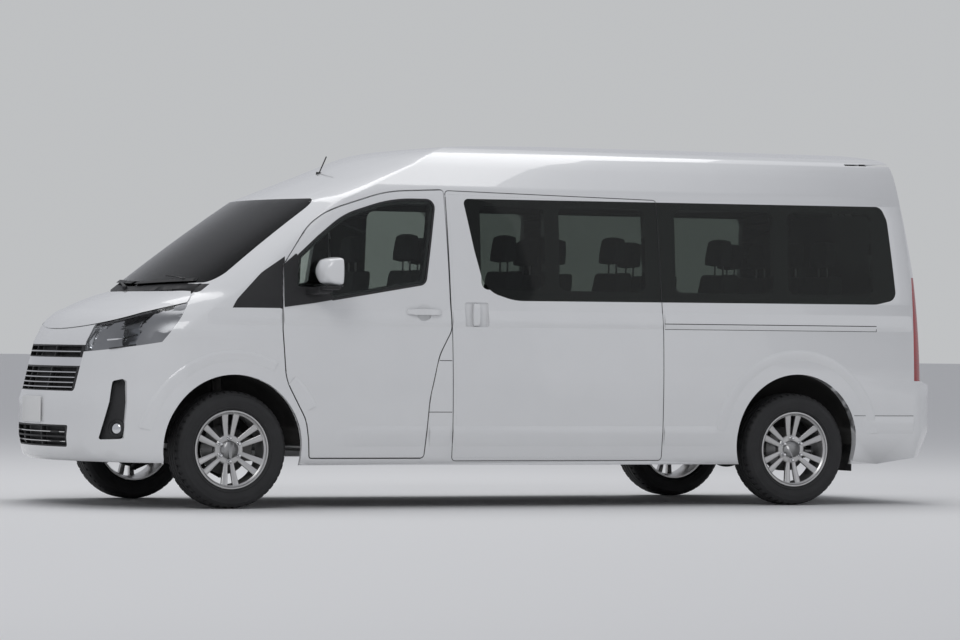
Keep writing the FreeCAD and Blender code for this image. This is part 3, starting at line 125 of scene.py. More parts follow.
def smooth(piece, degrees=35):
    """Smooth shading, with an edge kept sharp where its faces turn by more than that."""
    only(piece)
    bpy.ops.object.shade_smooth_by_angle(angle=math.radians(degrees))
    return piece


def apply_modifier(piece, kind, **values):
    """Add one modifier with its values and apply it at once."""
    only(piece)
    modifier = piece.modifiers.new(kind.lower(), kind)
    for key, value in values.items():
        setattr(modifier, key, value)
    bpy.ops.object.modifier_apply(modifier=modifier.name)
    return piece


def finish_piece(piece, name, finish, body="root", stands_for=()):
    """Name a piece, give it its finish and body, and hide the CAD nodes that it stands for."""
    settle(piece)
    piece.name = name
    piece.data.name = name
    if finish is not None:
        piece.data.materials.clear()
        piece.data.materials.append(finish)
    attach(piece, body)
    if stands_for:
        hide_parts(*stands_for)
    return piece


def copy_of(piece):
    """A copy with a mesh of its own."""
    twin = piece.copy()
    twin.data = piece.data.copy()
    bpy.context.collection.objects.link(twin)
    return twin


def bare_copy(node):
    """A copy of a CAD node that renders and carries none of the frame's marks."""
    piece = copy_of(node)
    piece.hide_render = False
    for key in list(piece.keys()):
        del piece[key]
    return piece


def joined(pieces):
    """One object from several."""
    clear_selection()
    for piece in pieces:
        piece.select_set(True)
    bpy.context.view_layer.objects.active = pieces[0]
    bpy.ops.object.join()
    return pieces[0]


def faces_out(piece):
    """Merge doubled points and turn every face outwards."""
    only(piece)
    edit_all()
    bpy.ops.mesh.remove_doubles(threshold=0.00001)
    bpy.ops.mesh.normals_make_consistent(inside=False)
    leave_edit()
    return piece


def flipped(piece):
    """The piece as its mirror image across the middle plane."""
    piece.scale.y = -1
    return faces_out(settle(piece))


def select_faces(piece, test):
    """Select the faces whose middle and normal pass a test, and stay in edit mode."""
    only(piece)
    bpy.ops.object.mode_set(mode="EDIT")
    bpy.ops.mesh.select_mode(type="FACE")
    bpy.ops.mesh.select_all(action="DESELECT")
    leave_edit()
    chosen = 0
    for face in piece.data.polygons:
        face.select = bool(test(face.center, face.normal))
        chosen += face.select
    bpy.ops.object.mode_set(mode="EDIT")
    return chosen


def block(low, high):
    """A box between two corners, ready to be shaped."""
    clear_selection()
    middle = [(a + b) / 2 for a, b in zip(low, high)]
    bpy.ops.mesh.primitive_cube_add(size=1, location=middle)
    piece = bpy.context.object
    piece.scale = [b - a for a, b in zip(low, high)]
    return settle(piece)


def divided(cuts, rule):
    """A box cut into a fine mesh, each of whose points is moved by a rule on its places from -1 to 1."""
    piece = block((-1, -1, -1), (1, 1, 1))
    edit_all()
    bpy.ops.mesh.subdivide(number_cuts=cuts)
    leave_edit()
    for point in piece.data.vertices:
        point.co = rule(*point.co)
    return piece


def rounded(piece, width, segments=3, degrees=30):
    """Bevel the edges that turn by more than an angle, and shade the result smooth."""
    apply_modifier(piece, "BEVEL", width=width, segments=segments, limit_method="ANGLE",
                   angle_limit=math.radians(degrees))
    return smooth(piece, degrees)


# %% [markdown]
# The camera stands where the photographer stood: about 28 m away with a long lens, at the height of
# a person's chest, looking a little from the front at the bus's left side. A long lens keeps the far
# side almost as large as the near side.

# %% Camera
CAMERA_PLACE = Vector((-12.2648, -26.7907, 1.0701))
CAMERA_YAW = math.radians(24.707)
CAMERA_PITCH = math.radians(0.176)
CAMERA_ROLL = math.radians(0.606)
bpy.ops.object.camera_add()
camera = bpy.context.object
camera.name = "camera"
camera.data.lens = 172.6
camera.data.sensor_width = 36
camera.data.clip_end = 200
ahead = Vector((math.sin(CAMERA_YAW) * math.cos(CAMERA_PITCH), math.cos(CAMERA_YAW) * math.cos(CAMERA_PITCH),
                math.sin(CAMERA_PITCH)))
level_right = ahead.cross(Vector((0, 0, 1))).normalized()
level_up = level_right.cross(ahead)
right = level_right * math.cos(CAMERA_ROLL) + level_up * math.sin(CAMERA_ROLL)
up = level_up * math.cos(CAMERA_ROLL) - level_right * math.sin(CAMERA_ROLL)
turn = Matrix((right, up, -ahead)).transposed()
camera.matrix_world = Matrix.Translation(CAMERA_PLACE) @ turn.to_4x4()
bpy.context.scene.camera = camera
print("camera", [round(v, 2) for v in CAMERA_PLACE], "lens", round(camera.data.lens, 1))

# %% [markdown]
# The studio is plain: a pale floor that keeps the bus's shadow, an even pale world, and three large
# soft lamps. The key lamp stands to the left and in front, high up, so that the flat side is bright,
# the nose a little darker, and the creases show.

# %% Floor, world and lamps
def node_input(node, name, value):
    """Set one socket of a shader node."""
    node.inputs[name].default_value = value


bpy.context.scene.view_settings.view_transform = "Standard"
clear_selection()
bpy.ops.mesh.primitive_plane_add(size=400, location=(0, 60, -0.001))
floor = bpy.context.object
floor.name = "floor"
floor_finish = bpy.data.materials.new("pale_floor")
floor_finish.use_nodes = True
node_input(floor_finish.node_tree.nodes["Principled BSDF"], "Base Color", (0.74, 0.74, 0.74, 1))
node_input(floor_finish.node_tree.nodes["Principled BSDF"], "Roughness", 0.9)
floor.data.materials.append(floor_finish)

world = bpy.data.worlds.new("studio")
bpy.context.scene.world = world
world.use_nodes = True
sky = world.node_tree
background = sky.nodes["Background"]
node_input(background, "Color", (0.92, 0.94, 1.0, 1))
node_input(background, "Strength", 0.50)
seen = sky.nodes.new("ShaderNodeBackground")
node_input(seen, "Color", (0.52, 0.53, 0.54, 1))
node_input(seen, "Strength", 1.0)
ray = sky.nodes.new("ShaderNodeLightPath")
chooser = sky.nodes.new("ShaderNodeMixShader")
sky.links.new(ray.outputs["Is Camera Ray"], chooser.inputs["Fac"])
sky.links.new(background.outputs["Background"], chooser.inputs[1])
sky.links.new(seen.outputs["Background"], chooser.inputs[2])
sky.links.new(chooser.outputs["Shader"], sky.nodes["World Output"].inputs["Surface"])

LAMPS = [
    ("key_lamp", (-10, -12, 12), 6, 470),
    ("fill_lamp", (10, -13, 4), 8, 60),
    ("top_lamp", (1, 3, 12), 9, 560),
]
for lamp_name, place, width, power in LAMPS:
    bpy.ops.object.light_add(type="AREA", location=place)
    lamp = bpy.context.object
    lamp.name = lamp_name
    lamp.data.size = width
    lamp.data.energy = power
    lamp.rotation_euler = (Vector((0, 0, 1.0)) - Vector(place)).to_track_quat("-Z", "Y").to_euler()
print("lamps", len(LAMPS))

# %% [markdown]
# Each finish is a small tree of nodes around one Principled shader. A real surface is never one flat
# colour: paint has a faint ripple, moulded plastic has a grain, rubber is mottled, and everything is
# a little dirtier in some places. One helper makes such a finish from noise in the piece's own
# Object coordinates, so that the pattern stays on the piece when it moves.

# %% A helper for finishes
def finish(name, colour, roughness, metal=0.0, grain=300.0, depth=0.02, spread=0.06, patches=4.0, coat=0.0,
           coat_roughness=0.03):
    """A finish with mottled colour, uneven roughness and a fine bump."""
    material = bpy.data.materials.new(name)
    material.use_nodes = True
    tree = material.node_tree
    shader = tree.nodes["Principled BSDF"]
    node_input(shader, "Metallic", metal)
    node_input(shader, "Coat Weight", coat)
    node_input(shader, "Coat Roughness", coat_roughness)
    place = tree.nodes.new("ShaderNodeTexCoord")
    mottle = tree.nodes.new("ShaderNodeTexNoise")
    node_input(mottle, "Scale", patches)
    node_input(mottle, "Detail", 5.0)
    tree.links.new(place.outputs["Object"], mottle.inputs["Vector"])
    tint = tree.nodes.new("ShaderNodeValToRGB")
    tint.color_ramp.elements[0].position = 0.3
    tint.color_ramp.elements[1].position = 0.7
    tint.color_ramp.elements[0].color = tuple(c * (1 - spread) for c in colour) + (1,)
    tint.color_ramp.elements[1].color = tuple(min(1, c * (1 + spread / 3)) for c in colour) + (1,)
    tree.links.new(mottle.outputs["Fac"], tint.inputs["Fac"])
    tree.links.new(tint.outputs["Color"], shader.inputs["Base Color"])
    gloss = tree.nodes.new("ShaderNodeMapRange")
    node_input(gloss, "To Min", roughness * 0.85)
    node_input(gloss, "To Max", min(1, roughness * 1.15))
    tree.links.new(mottle.outputs["Fac"], gloss.inputs["Value"])
    tree.links.new(gloss.outputs["Result"], shader.inputs["Roughness"])
    fine = tree.nodes.new("ShaderNodeTexNoise")
    node_input(fine, "Scale", grain)
    node_input(fine, "Detail", 3.0)
    tree.links.new(place.outputs["Object"], fine.inputs["Vector"])
    bump = tree.nodes.new("ShaderNodeBump")
    node_input(bump, "Strength", depth)
    node_input(bump, "Distance", 0.002)
    tree.links.new(fine.outputs["Fac"], bump.inputs["Height"])
    tree.links.new(bump.outputs["Normal"], shader.inputs["Normal"])
    return material


# %% [markdown]
# Paint on a bus is a white colour coat under a clear one. The clear coat gives sharp reflections over
# a softer base. Black plastic trim is rough with a pebbled grain, chrome is smooth metal, and the
# underside wears a dull black wax.

# %% Paint, plastics and metals
white_paint = finish("white_paint", (0.76, 0.765, 0.77), 0.32, grain=420, depth=0.012, spread=0.015, coat=1.0)
black_trim = finish("black_trim", (0.018, 0.018, 0.019), 0.55, grain=900, depth=0.25, spread=0.25, patches=9)
gloss_black = finish("gloss_black", (0.012, 0.012, 0.013), 0.16, grain=500, depth=0.01, spread=0.2, coat=0.5)
chrome_trim = finish("chrome_trim", (0.82, 0.82, 0.83), 0.06, metal=1.0, grain=200, depth=0.004, spread=0.03)
wax_black = finish("wax_black", (0.022, 0.021, 0.020), 0.75, grain=160, depth=0.35, spread=0.5, patches=7)
cast_iron = finish("cast_iron", (0.16, 0.155, 0.15), 0.62, metal=0.7, grain=500, depth=0.5, spread=0.35)
turned_steel = finish("turned_steel", (0.42, 0.42, 0.42), 0.32, metal=1.0, grain=700, depth=0.08, spread=0.25)
tank_plastic = finish("tank_plastic", (0.03, 0.03, 0.032), 0.5, grain=260, depth=0.2, spread=0.3)
tyre_rubber = finish("tyre_rubber", (0.020, 0.020, 0.021), 0.68, grain=800, depth=0.2, spread=0.35,
                     patches=11)
cast_alloy = finish("cast_alloy", (0.58, 0.575, 0.57), 0.30, metal=0.9, grain=600, depth=0.05, spread=0.12)
bare_plate = finish("bare_plate", (0.78, 0.78, 0.77), 0.38, grain=350, depth=0.03, spread=0.03)
dash_grain = finish("dash_grain", (0.035, 0.035, 0.037), 0.6, grain=1100, depth=0.3, spread=0.2)
mirror_silver = finish("mirror_silver", (0.86, 0.87, 0.88), 0.03, metal=1.0, grain=50, depth=0.0, spread=0.02)


# %% [markdown]
# Window glass is thin, so it mostly lets light through and adds a sharp reflection. The panes behind
# the front doors are privacy glass, which is nearly black. A mix of a tinted see-through shader and a
# glossy one, weighted by Fresnel, renders quickly and keeps the shadows light.

# %% Glass and lenses
def pane_finish(name, tint, gloss_roughness=0.02, streaks=0.04):
    """See-through glass: a tint for what lies behind and a reflection that grows at grazing angles."""
    material = bpy.data.materials.new(name)
    material.use_nodes = True
    tree = material.node_tree
    tree.nodes.remove(tree.nodes["Principled BSDF"])
    through = tree.nodes.new("ShaderNodeBsdfTransparent")
    place = tree.nodes.new("ShaderNodeTexCoord")
    film = tree.nodes.new("ShaderNodeTexNoise")
    node_input(film, "Scale", 3.0)
    node_input(film, "Detail", 6.0)
    tree.links.new(place.outputs["Object"], film.inputs["Vector"])
    shade = tree.nodes.new("ShaderNodeValToRGB")
    shade.color_ramp.elements[0].color = tuple(c * (1 - streaks) for c in tint) + (1,)
    shade.color_ramp.elements[1].color = tuple(tint) + (1,)
    tree.links.new(film.outputs["Fac"], shade.inputs["Fac"])
    tree.links.new(shade.outputs["Color"], through.inputs["Color"])
    shine = tree.nodes.new("ShaderNodeBsdfGlossy")
    node_input(shine, "Roughness", gloss_roughness)
    fresnel = tree.nodes.new("ShaderNodeFresnel")
    node_input(fresnel, "IOR", 1.36)
    blend = tree.nodes.new("ShaderNodeMixShader")
    tree.links.new(fresnel.outputs["Fac"], blend.inputs["Fac"])
    tree.links.new(through.outputs["BSDF"], blend.inputs[1])
    tree.links.new(shine.outputs["BSDF"], blend.inputs[2])
    tree.links.new(blend.outputs["Shader"], tree.nodes["Material Output"].inputs["Surface"])
    return material


windscreen_glass = pane_finish("windscreen_glass", (0.84, 0.88, 0.86))
door_pane_glass = pane_finish("door_pane_glass", (0.78, 0.81, 0.79))
privacy_glass = pane_finish("privacy_glass", (0.52, 0.55, 0.53))
lamp_lens = pane_finish("lamp_lens", (0.96, 0.97, 0.98), streaks=0.01)
red_lens = finish("red_lens", (0.36, 0.004, 0.006), 0.14, grain=240, depth=0.15, spread=0.15, coat=0.25)
reflector = finish("reflector", (0.80, 0.81, 0.83), 0.10, metal=1.0, grain=90, depth=0.05, spread=0.15)
lamp_tray = finish("lamp_tray", (0.26, 0.265, 0.275), 0.30, metal=0.8, grain=140, depth=0.06, spread=0.2)
print("finishes", len(bpy.data.materials))

# %% [markdown]
# The CAD panels are exact, but they come as loose triangles with flat shading. A copy of each one has
# its doubled points merged, so that shading can run smoothly over the curves and stop at the real
# edges. The copy stands for the node, and the node itself stays as it is.

# %% Dress the CAD pieces
PLAIN_FINISH = {
    "body_paint": white_paint, "pane": privacy_glass, "screen": windscreen_glass, "lens_clear": lamp_lens,
    "lens_red": red_lens, "black_plastic": black_trim, "bright": chrome_trim, "under": wax_black,
    "iron": cast_iron, "steel": turned_steel, "rim_alloy": cast_alloy, "tyre": tyre_rubber,
    "seat_cloth": dash_grain, "trim": dash_grain, "tank": tank_plastic,
}
REBUILT = {"headlamps", "front_seats", "rear_seats", "steering_wheel", "mirror_left", "mirror_right"}
REBUILT |= {name for name in nodes if name.startswith(("tyre_", "rim_"))}


def dress(name, material=None, degrees=30):
    """A merged, smoothly shaded copy of a CAD node in its own finish."""
    piece = bare_copy(nodes[name])
    piece.parent = None
    piece.matrix_world = Matrix.Identity(4)
    only(piece)
    edit_all()
    bpy.ops.mesh.remove_doubles(threshold=0.00002)
    leave_edit()
    slot_name = slot_of_node[name]
    finish_piece(piece, "dressed_" + name, material or PLAIN_FINISH[slot_name], body_of_node[name],
                 (name,))
    return smooth(piece, degrees)


dressed = {}
for node_name in sorted(nodes):
    if node_name not in REBUILT:
        dressed[node_name] = dress(node_name)
dressed["door_glass_left"].data.materials[0] = door_pane_glass
dressed["door_glass_right"].data.materials[0] = door_pane_glass
print("dressed", len(dressed))

# %% [markdown]
# A hand reaches behind a door handle, so the skin is dished there. The dish of a front door is a
# flattened ball, and the one of the sliding door is a rounded box, and each is cut from the panel
# before its shading is worked out.

# %% Cups behind the door handles
FRONT_HANDLE = (1.250, 1.202)
SLIDING_HANDLE = (1.608, 1.190)
HANDLE_SKIN = 0.957


def cut_away(panel, tool):
    """Cut a tool out of a panel and throw the tool away."""
    apply_modifier(panel, "BOOLEAN", operation="DIFFERENCE", object=tool, solver="EXACT")
    bpy.data.objects.remove(tool)
    return smooth(panel, 30)


cups = {}
for panel_name, side in (("door_left", LEFT), ("door_right", RIGHT)):
    clear_selection()
    station, height = FRONT_HANDLE
    bpy.ops.mesh.primitive_uv_sphere_add(segments=48, ring_count=24, radius=1,
                                         location=(at(station), side * (HANDLE_SKIN + 0.006), height))
    ball = bpy.context.object
    ball.scale = (0.052, 0.022, 0.058)
    cups[panel_name] = settle(ball)
    cut_away(dressed[panel_name], copy_of(ball))
station, height = SLIDING_HANDLE
cup = block((at(station) - 0.080, -HANDLE_SKIN - 0.030, height - 0.076),
            (at(station) + 0.080, 0.016 - HANDLE_SKIN, height + 0.076))
cups["sliding_door"] = rounded(cup, 0.014, 4, 60)
cut_away(dressed["sliding_door"], copy_of(cup))
print("cups", len(cups))

# %% [markdown]
# White paint is judged by its reflections, and a reflection shows every small flat of a CAD mesh. Car
# modellers solve this with a surface that is smooth but never seen: the panels borrow its normals.
# Here that surface is the whole body form as one lump. A side profile, pushed back towards the sides,
# gives the nose, the windscreen, the roof and the tail. A cross-section, drawn through along the bus,
# gives the flanks. What the two lumps share is the form, and an even remesh rounds its edges.

# %% The smooth form that lends its normals
ARC_STEPS = 8
# Station, height, family of the shift, and the bow of the run that follows it.
FORM_PROFILE = [
    (-0.860, 0.262, "nose", 0), (-0.925, 0.300, "nose", 0), (-0.950, 0.420, "nose", 0),
    (-0.950, 0.640, "nose", 0), (-0.925, 0.715, "nose", 0), (-0.855, 1.000, "nose", 0),
    (-0.800, 1.085, "roll", 0.020), (-0.640, 1.212, "roll", 0.009), (-0.340, 1.318, "base", 0.010),
    (0.477, 1.893, "header", 0), (1.100, 2.135, "header", 0.022), (1.617, 2.243, "crown", 0.008),
    (3.000, 2.284, "none", 0.005), (4.500, 2.266, "tail", 0.012), (4.672, 2.195, "tail", 0.008),
    (4.845, 1.480, "tail", 0.010), (4.905, 0.800, "tail", 0), (4.965, 0.770, "tail", 0),
    (4.965, 0.470, "tail", 0), (4.900, 0.330, "tail", 0), (4.870, 0.262, "tail", 0),
]
# How far each family moves back at three distances from the middle.
SHIFT_PLACES = (0.450, 0.800, 0.985)
SHIFTS = {
    "nose": (0.072, 0.262, 0.640), "roll": (0.060, 0.235, 0.560), "base": (0.052, 0.190, 0.420),
    "header": (0.050, 0.185, 0.400), "crown": (0.014, 0.062, 0.200), "none": (0, 0, 0),
    "tail": (-0.012, -0.062, -0.240),
}
BONNET_DROP = (0.004, 0.014, 0.040)
# Half of the cross-section: distance from the middle, height, bow of the run that follows.
FORM_SECTION = [(0.944, 0.262, 0), (0.968, 0.476, 0.008), (0.965, 1.090, 0), (0.950, 1.283, 0.007),
                (0.905, 1.920, 0), (0.880, 1.990, 0), (0.834, 2.103, 0.016), (0.690, 2.223, 0.009),
                (0.0, 2.280, 0)]


def eased(across, values):
    """A shift at a distance from the middle, smooth and even about the middle."""
    square = across * across
    squares = [place * place for place in SHIFT_PLACES]
    ratios = [value / s for value, s in zip(values, squares)]
    total = 0
    for i, ratio in enumerate(ratios):
        weight = 1
        for j, other in enumerate(squares):
            if j != i:
                weight *= (square - other) / (squares[i] - other)
        total += ratio * weight
    return square * total


def bowed(points, bows, closed):
    """Points along runs, with a bowed run divided so that it curves."""
    path = []
    count = len(points) if closed else len(points) - 1
    for i in range(count):
        start = Vector(points[i])
        run = Vector(points[(i + 1) % len(points)]) - start
        steps = ARC_STEPS if bows[i] else 2
        side_way = Vector((-run.y, run.x)).normalized()
        for k in range(steps):
            share = k / steps
            path.append(start + run * share + side_way * bows[i] * 4 * share * (1 - share))
    if not closed:
        path.append(Vector(points[-1]))
    return path


def profile_at(across):
    """The side profile at a distance from the middle, as (X, Z) points."""
    points = []
    for station, height, family, bow in FORM_PROFILE:
        drop = eased(across, BONNET_DROP) if family in ("roll", "base") else 0
        points.append((at(station) + eased(across, SHIFTS[family]), height - drop))
    return bowed(points, [row[3] for row in FORM_PROFILE], True)


def make_hull():
    """A ring of profile points repeated across the bus, closed at both ends."""
    rows = 39
    ring = len(profile_at(0))
    clear_selection()
    bpy.ops.mesh.primitive_grid_add(x_subdivisions=ring, y_subdivisions=rows - 1, size=2)
    hull = bpy.context.object
    for row in range(rows):
        across = 0.985 * (2 * row / (rows - 1) - 1)
        path = profile_at(across)
        for k in range(ring + 1):
            place = path[k % ring]
            hull.data.vertices[row * (ring + 1) + k].co = (place.x, across, place.y)
    only(hull)
    edit_all()
    bpy.ops.mesh.remove_doubles(threshold=0.0001)
    bpy.ops.mesh.fill_holes(sides=0)
    turn_out()
    leave_edit()
    return hull


def make_section_bar():
    """The cross-section drawn through along the bus."""
    half = bowed([(y, z) for y, z, bow in FORM_SECTION], [-bow for y, z, bow in FORM_SECTION], False)
    ring = half + [Vector((-point.x, point.y)) for point in reversed(half[:-1])]
    clear_selection()
    bpy.ops.mesh.primitive_circle_add(vertices=len(ring), fill_type="NGON")
    bar = bpy.context.object
    for point, place in zip(bar.data.vertices, ring):
        point.co = (-3.4, place.x, place.y)
    only(bar)
    edit_all()
    bpy.ops.mesh.extrude_region_move(TRANSFORM_OT_translate={"value": (6.8, 0, 0)})
    turn_out()
    leave_edit()
    return bar


form = make_hull()
section_bar = make_section_bar()
apply_modifier(form, "BOOLEAN", operation="INTERSECT", object=section_bar, solver="EXACT")
bpy.data.objects.remove(section_bar)
apply_modifier(form, "REMESH", mode="VOXEL", voxel_size=0.020, use_smooth_shade=True)
apply_modifier(form, "SMOOTH", factor=0.5, iterations=14)
smooth(form, 180)
form_inside = copy_of(form)
only(form_inside)
edit_all()
bpy.ops.mesh.flip_normals()
leave_edit()
print("form faces", len(form.data.polygons), "box", [round(v, 3) for v in form.dimensions])


# %% [markdown]
# Only the faces that lie on the form may borrow from it. They are found by looking up the nearest
# place on the form and comparing directions. They are split off along their borders, so that a gap's
# side walls keep their own shading. A pane does the same with its inner face and a form whose
# normals point inwards.

# %% Borrow the form's normals
REACH = 0.050
SAME_WAY = 0.75
form_tree = BVHTree.FromObject(form, bpy.context.evaluated_depsgraph_get())


def lend_normals(piece, way):
    """Faces that look along the form's normal (way 1) or against it (way -1) take its normals."""
    def on_form(middle, normal):
        place, direction = form_tree.find_nearest(middle, REACH)[:2]
        return place is not None and direction.dot(normal) * way > SAME_WAY

    chosen = select_faces(piece, on_form)
    if not chosen:
        leave_edit()
        return 0
    bpy.ops.mesh.split()
    leave_edit()
    group = piece.vertex_groups.new(name="on_form")
    members = [i for face in piece.data.polygons if face.select for i in face.vertices]
    group.add(sorted(set(members)), 1.0, "REPLACE")
    apply_modifier(piece, "DATA_TRANSFER", object=form if way == 1 else form_inside, use_loop_data=True,
                   data_types_loops={"CUSTOM_NORMAL"}, loop_mapping="POLYINTERP_NEAREST",
                   vertex_group=group.name)
    piece.vertex_groups.clear()
    return chosen


SMOOTH_SLOTS = {"body_paint", "pane", "screen", "lens_red"}
lent = 0
for node_name, piece in dressed.items():
    if slot_of_node[node_name] in SMOOTH_SLOTS and not node_name.startswith("mirror"):
        lent += lend_normals(piece, 1)
        if slot_of_node[node_name] in ("pane", "screen"):
            lent += lend_normals(piece, -1)
bpy.data.objects.remove(form_inside)
print("faces with borrowed normals", lent)

# %% [markdown]
# A wheel is turned, so its tyre and its rim start as closed outlines that are spun round an axis. The
# outline is made from a circle whose points are moved to their places. The spin leaves a doubled
# seam, which is merged. All four wheels are the same, so each piece is made once, about its own
# axis with its outside up, and then copied to its corner.

# %% A helper for turned pieces
def turned(outline, steps):
    """A closed ring of points (radius, height) spun once round the Z axis."""
    clear_selection()
    bpy.ops.mesh.primitive_circle_add(vertices=len(outline), radius=1)
    piece = bpy.context.object
    for point, (radius, height) in zip(piece.data.vertices, outline):
        point.co = (radius, 0, height)
    edit_all()
    bpy.ops.mesh.spin(steps=steps, angle=2 * math.pi, center=(0, 0, 0), axis=(0, 0, 1))
    bpy.ops.mesh.select_all(action="SELECT")
    bpy.ops.mesh.remove_doubles(threshold=0.00002)
    bpy.ops.mesh.dissolve_degenerate(threshold=0.00002)
    bpy.ops.mesh.normals_make_consistent(inside=False)
    leave_edit()
    return piece


# %% [markdown]
# The tyre's outline goes over the sidewall, with its rim guard and two fine rings, to a tread with
# four round grooves. After the spin, every third face of the two shoulder ribs is pushed in, which
# cuts the cross grooves that the photo shows round the tyre's edge.

# %% Tyre
TYRE_STEPS = 144
GROOVES = [-0.056, -0.019, 0.019, 0.056]
side_outline = [(0.2390, 0.0935), (0.2440, 0.1015), (0.2500, 0.1060), (0.2530, 0.1092), (0.2570, 0.1096),
                (0.2600, 0.1072), (0.2750, 0.1118), (0.2900, 0.1150), (0.2960, 0.1158), (0.2968, 0.1166),
                (0.2990, 0.1166), (0.2998, 0.1160), (0.3110, 0.1158), (0.3230, 0.1130), (0.3250, 0.1134),
                (0.3270, 0.1116), (0.3350, 0.1058), (0.3430, 0.0985), (0.3490, 0.0900)]
crown = [(0.3525, 0.0800), (0.3545, 0.0700)]
tread = []
for middle in reversed(GROOVES):
    edge_radius = 0.3558 - 0.25 * middle * middle
    tread += [(edge_radius, middle + 0.0052), (edge_radius - 0.0075, middle + 0.0035),
              (edge_radius - 0.0075, middle - 0.0035), (edge_radius, middle - 0.0052)]
outside = side_outline + crown + tread
inside = [(0.2440, -0.0830), (0.2760, -0.1010), (0.3200, -0.0980), (0.3400, -0.0750), (0.3440, 0.0),
          (0.3400, 0.0750), (0.3200, 0.0980), (0.2760, 0.1010), (0.2440, 0.0830)]
far_side = [(radius, -height) for radius, height in reversed(side_outline + crown)]
tyre_outline = outside + far_side + inside
tyre_model = turned(tyre_outline, TYRE_STEPS)


def shoulder_groove(middle, normal):
    """Every third face of a shoulder rib."""
    radius = math.hypot(middle.x, middle.y)
    step = int((math.degrees(math.atan2(middle.y, middle.x)) % 360) / (360 / TYRE_STEPS))
    return radius > 0.343 and 0.0615 < abs(middle.z) < 0.099 and normal.to_2d().dot(middle.to_2d()) > 0 \
        and step % 3 == 0


count = select_faces(tyre_model, shoulder_groove)
bpy.ops.mesh.extrude_region_shrink_fatten(TRANSFORM_OT_shrink_fatten={"value": -0.0060})
leave_edit()
smooth(tyre_model, 28)
print("tyre grooves", count, "faces", len(tyre_model.data.polygons))

# %% [markdown]
# The rim is cast in one piece. Its barrel and lip are turned. A spoke starts as a box that is divided
# along its length and across, tapered, bent forward from the hub to the lip and rounded. Its twin is
# a mirror image, and the pair is copied six times round the axis. The pad in the middle carries the
# studs.

# %% Rim
RIM_PAIRS = 6
SPOKE_ANGLE = math.radians(30)
barrel_outline = [(0.2378, 0.0975), (0.2340, 0.0990), (0.2290, 0.0975), (0.2265, 0.0905), (0.2225, 0.0860),
                  (0.2150, 0.0800), (0.2120, 0.0400), (0.2130, -0.0500), (0.2260, -0.0860), (0.2280, -0.0975),
                  (0.2378, -0.0975), (0.2370, -0.0800), (0.2200, -0.0560), (0.2175, 0.0100), (0.2200, 0.0620),
                  (0.2375, 0.0880)]
barrel = smooth(turned(barrel_outline, 96), 40)
pad_outline = [(0.0530, 0.0120), (0.0530, 0.0480), (0.0560, 0.0520), (0.0830, 0.0535), (0.0900, 0.0500),
               (0.0950, 0.0400), (0.0950, 0.0150), (0.0900, 0.0100)]
pad = smooth(turned(pad_outline, 72), 40)


def spoke_edge(radius):
    """Middle line, half width and front height of a spoke at a radius."""
    share = max(0.0, (radius - 0.080) / 0.146)
    return 0.0190 + 0.0205 * share, 0.0135 + 0.0085 * share, 0.0520 + 0.0300 * share ** 1.3


def spoke_shape(a, b, c):
    """One spoke beside the X axis: domed across its front and hollow along its back."""
    radius = 0.148 + 0.078 * a
    middle, half, front = spoke_edge(radius)
    depth = (c + 1) / 2
    back = front - 0.034 + 0.006 * b ** 2
    half_here = half * (1.0 - 0.22 * (1 - depth))
    return radius, middle + b * half_here, back + (front - 0.0035 * abs(b) ** 2.5 - back) * depth


spoke = rounded(divided(7, spoke_shape), 0.0022, 2, 50)
pair = joined([spoke, flipped(copy_of(spoke))])
spokes = [pair]
for k in range(1, RIM_PAIRS):
    another = copy_of(pair)
    another.rotation_euler.z = 2 * math.pi * k / RIM_PAIRS
    spokes.append(settle(another))
rim_model = joined([barrel, pad] + spokes)
rim_model.rotation_euler.z = SPOKE_ANGLE
settle(rim_model)
smooth(rim_model, 40)
print("rim faces", len(rim_model.data.polygons))

# %% [markdown]
# Six nuts hold the wheel, and a round cap closes the hub. A nut is a six-sided bar with a domed end
# on a conical collar. The cap stays bare.

# %% Nuts and cap
nut_parts = []
for k in range(RIM_PAIRS):
    clear_selection()
    angle = SPOKE_ANGLE + 2 * math.pi * k / RIM_PAIRS
    place = (0.06985 * math.cos(angle), 0.06985 * math.sin(angle), 0.064)
    bpy.ops.mesh.primitive_cylinder_add(vertices=6, radius=0.0105, depth=0.026, location=place)
    nut = settle(bpy.context.object)
    select_faces(nut, lambda middle, normal: normal.z > 0.9)
    bpy.ops.mesh.inset(thickness=0.003)
    bpy.ops.transform.translate(value=(0, 0, 0.004))
    leave_edit()
    nut_parts.append(rounded(nut, 0.0012, 2))
    clear_selection()
    bpy.ops.mesh.primitive_cone_add(vertices=28, radius1=0.0165, radius2=0.0125, depth=0.006,
                                    location=(place[0], place[1], 0.0555))
    nut_parts.append(rounded(settle(bpy.context.object), 0.0008, 2))
nuts_model = joined(nut_parts)
cap_outline = [(0.0001, 0.0480), (0.0500, 0.0480), (0.0515, 0.0560), (0.0500, 0.0640), (0.0440, 0.0672),
               (0.0420, 0.0655), (0.0380, 0.0655), (0.0360, 0.0690), (0.0200, 0.0712), (0.0001, 0.0718)]
cap_model = smooth(turned(cap_outline, 64), 30)

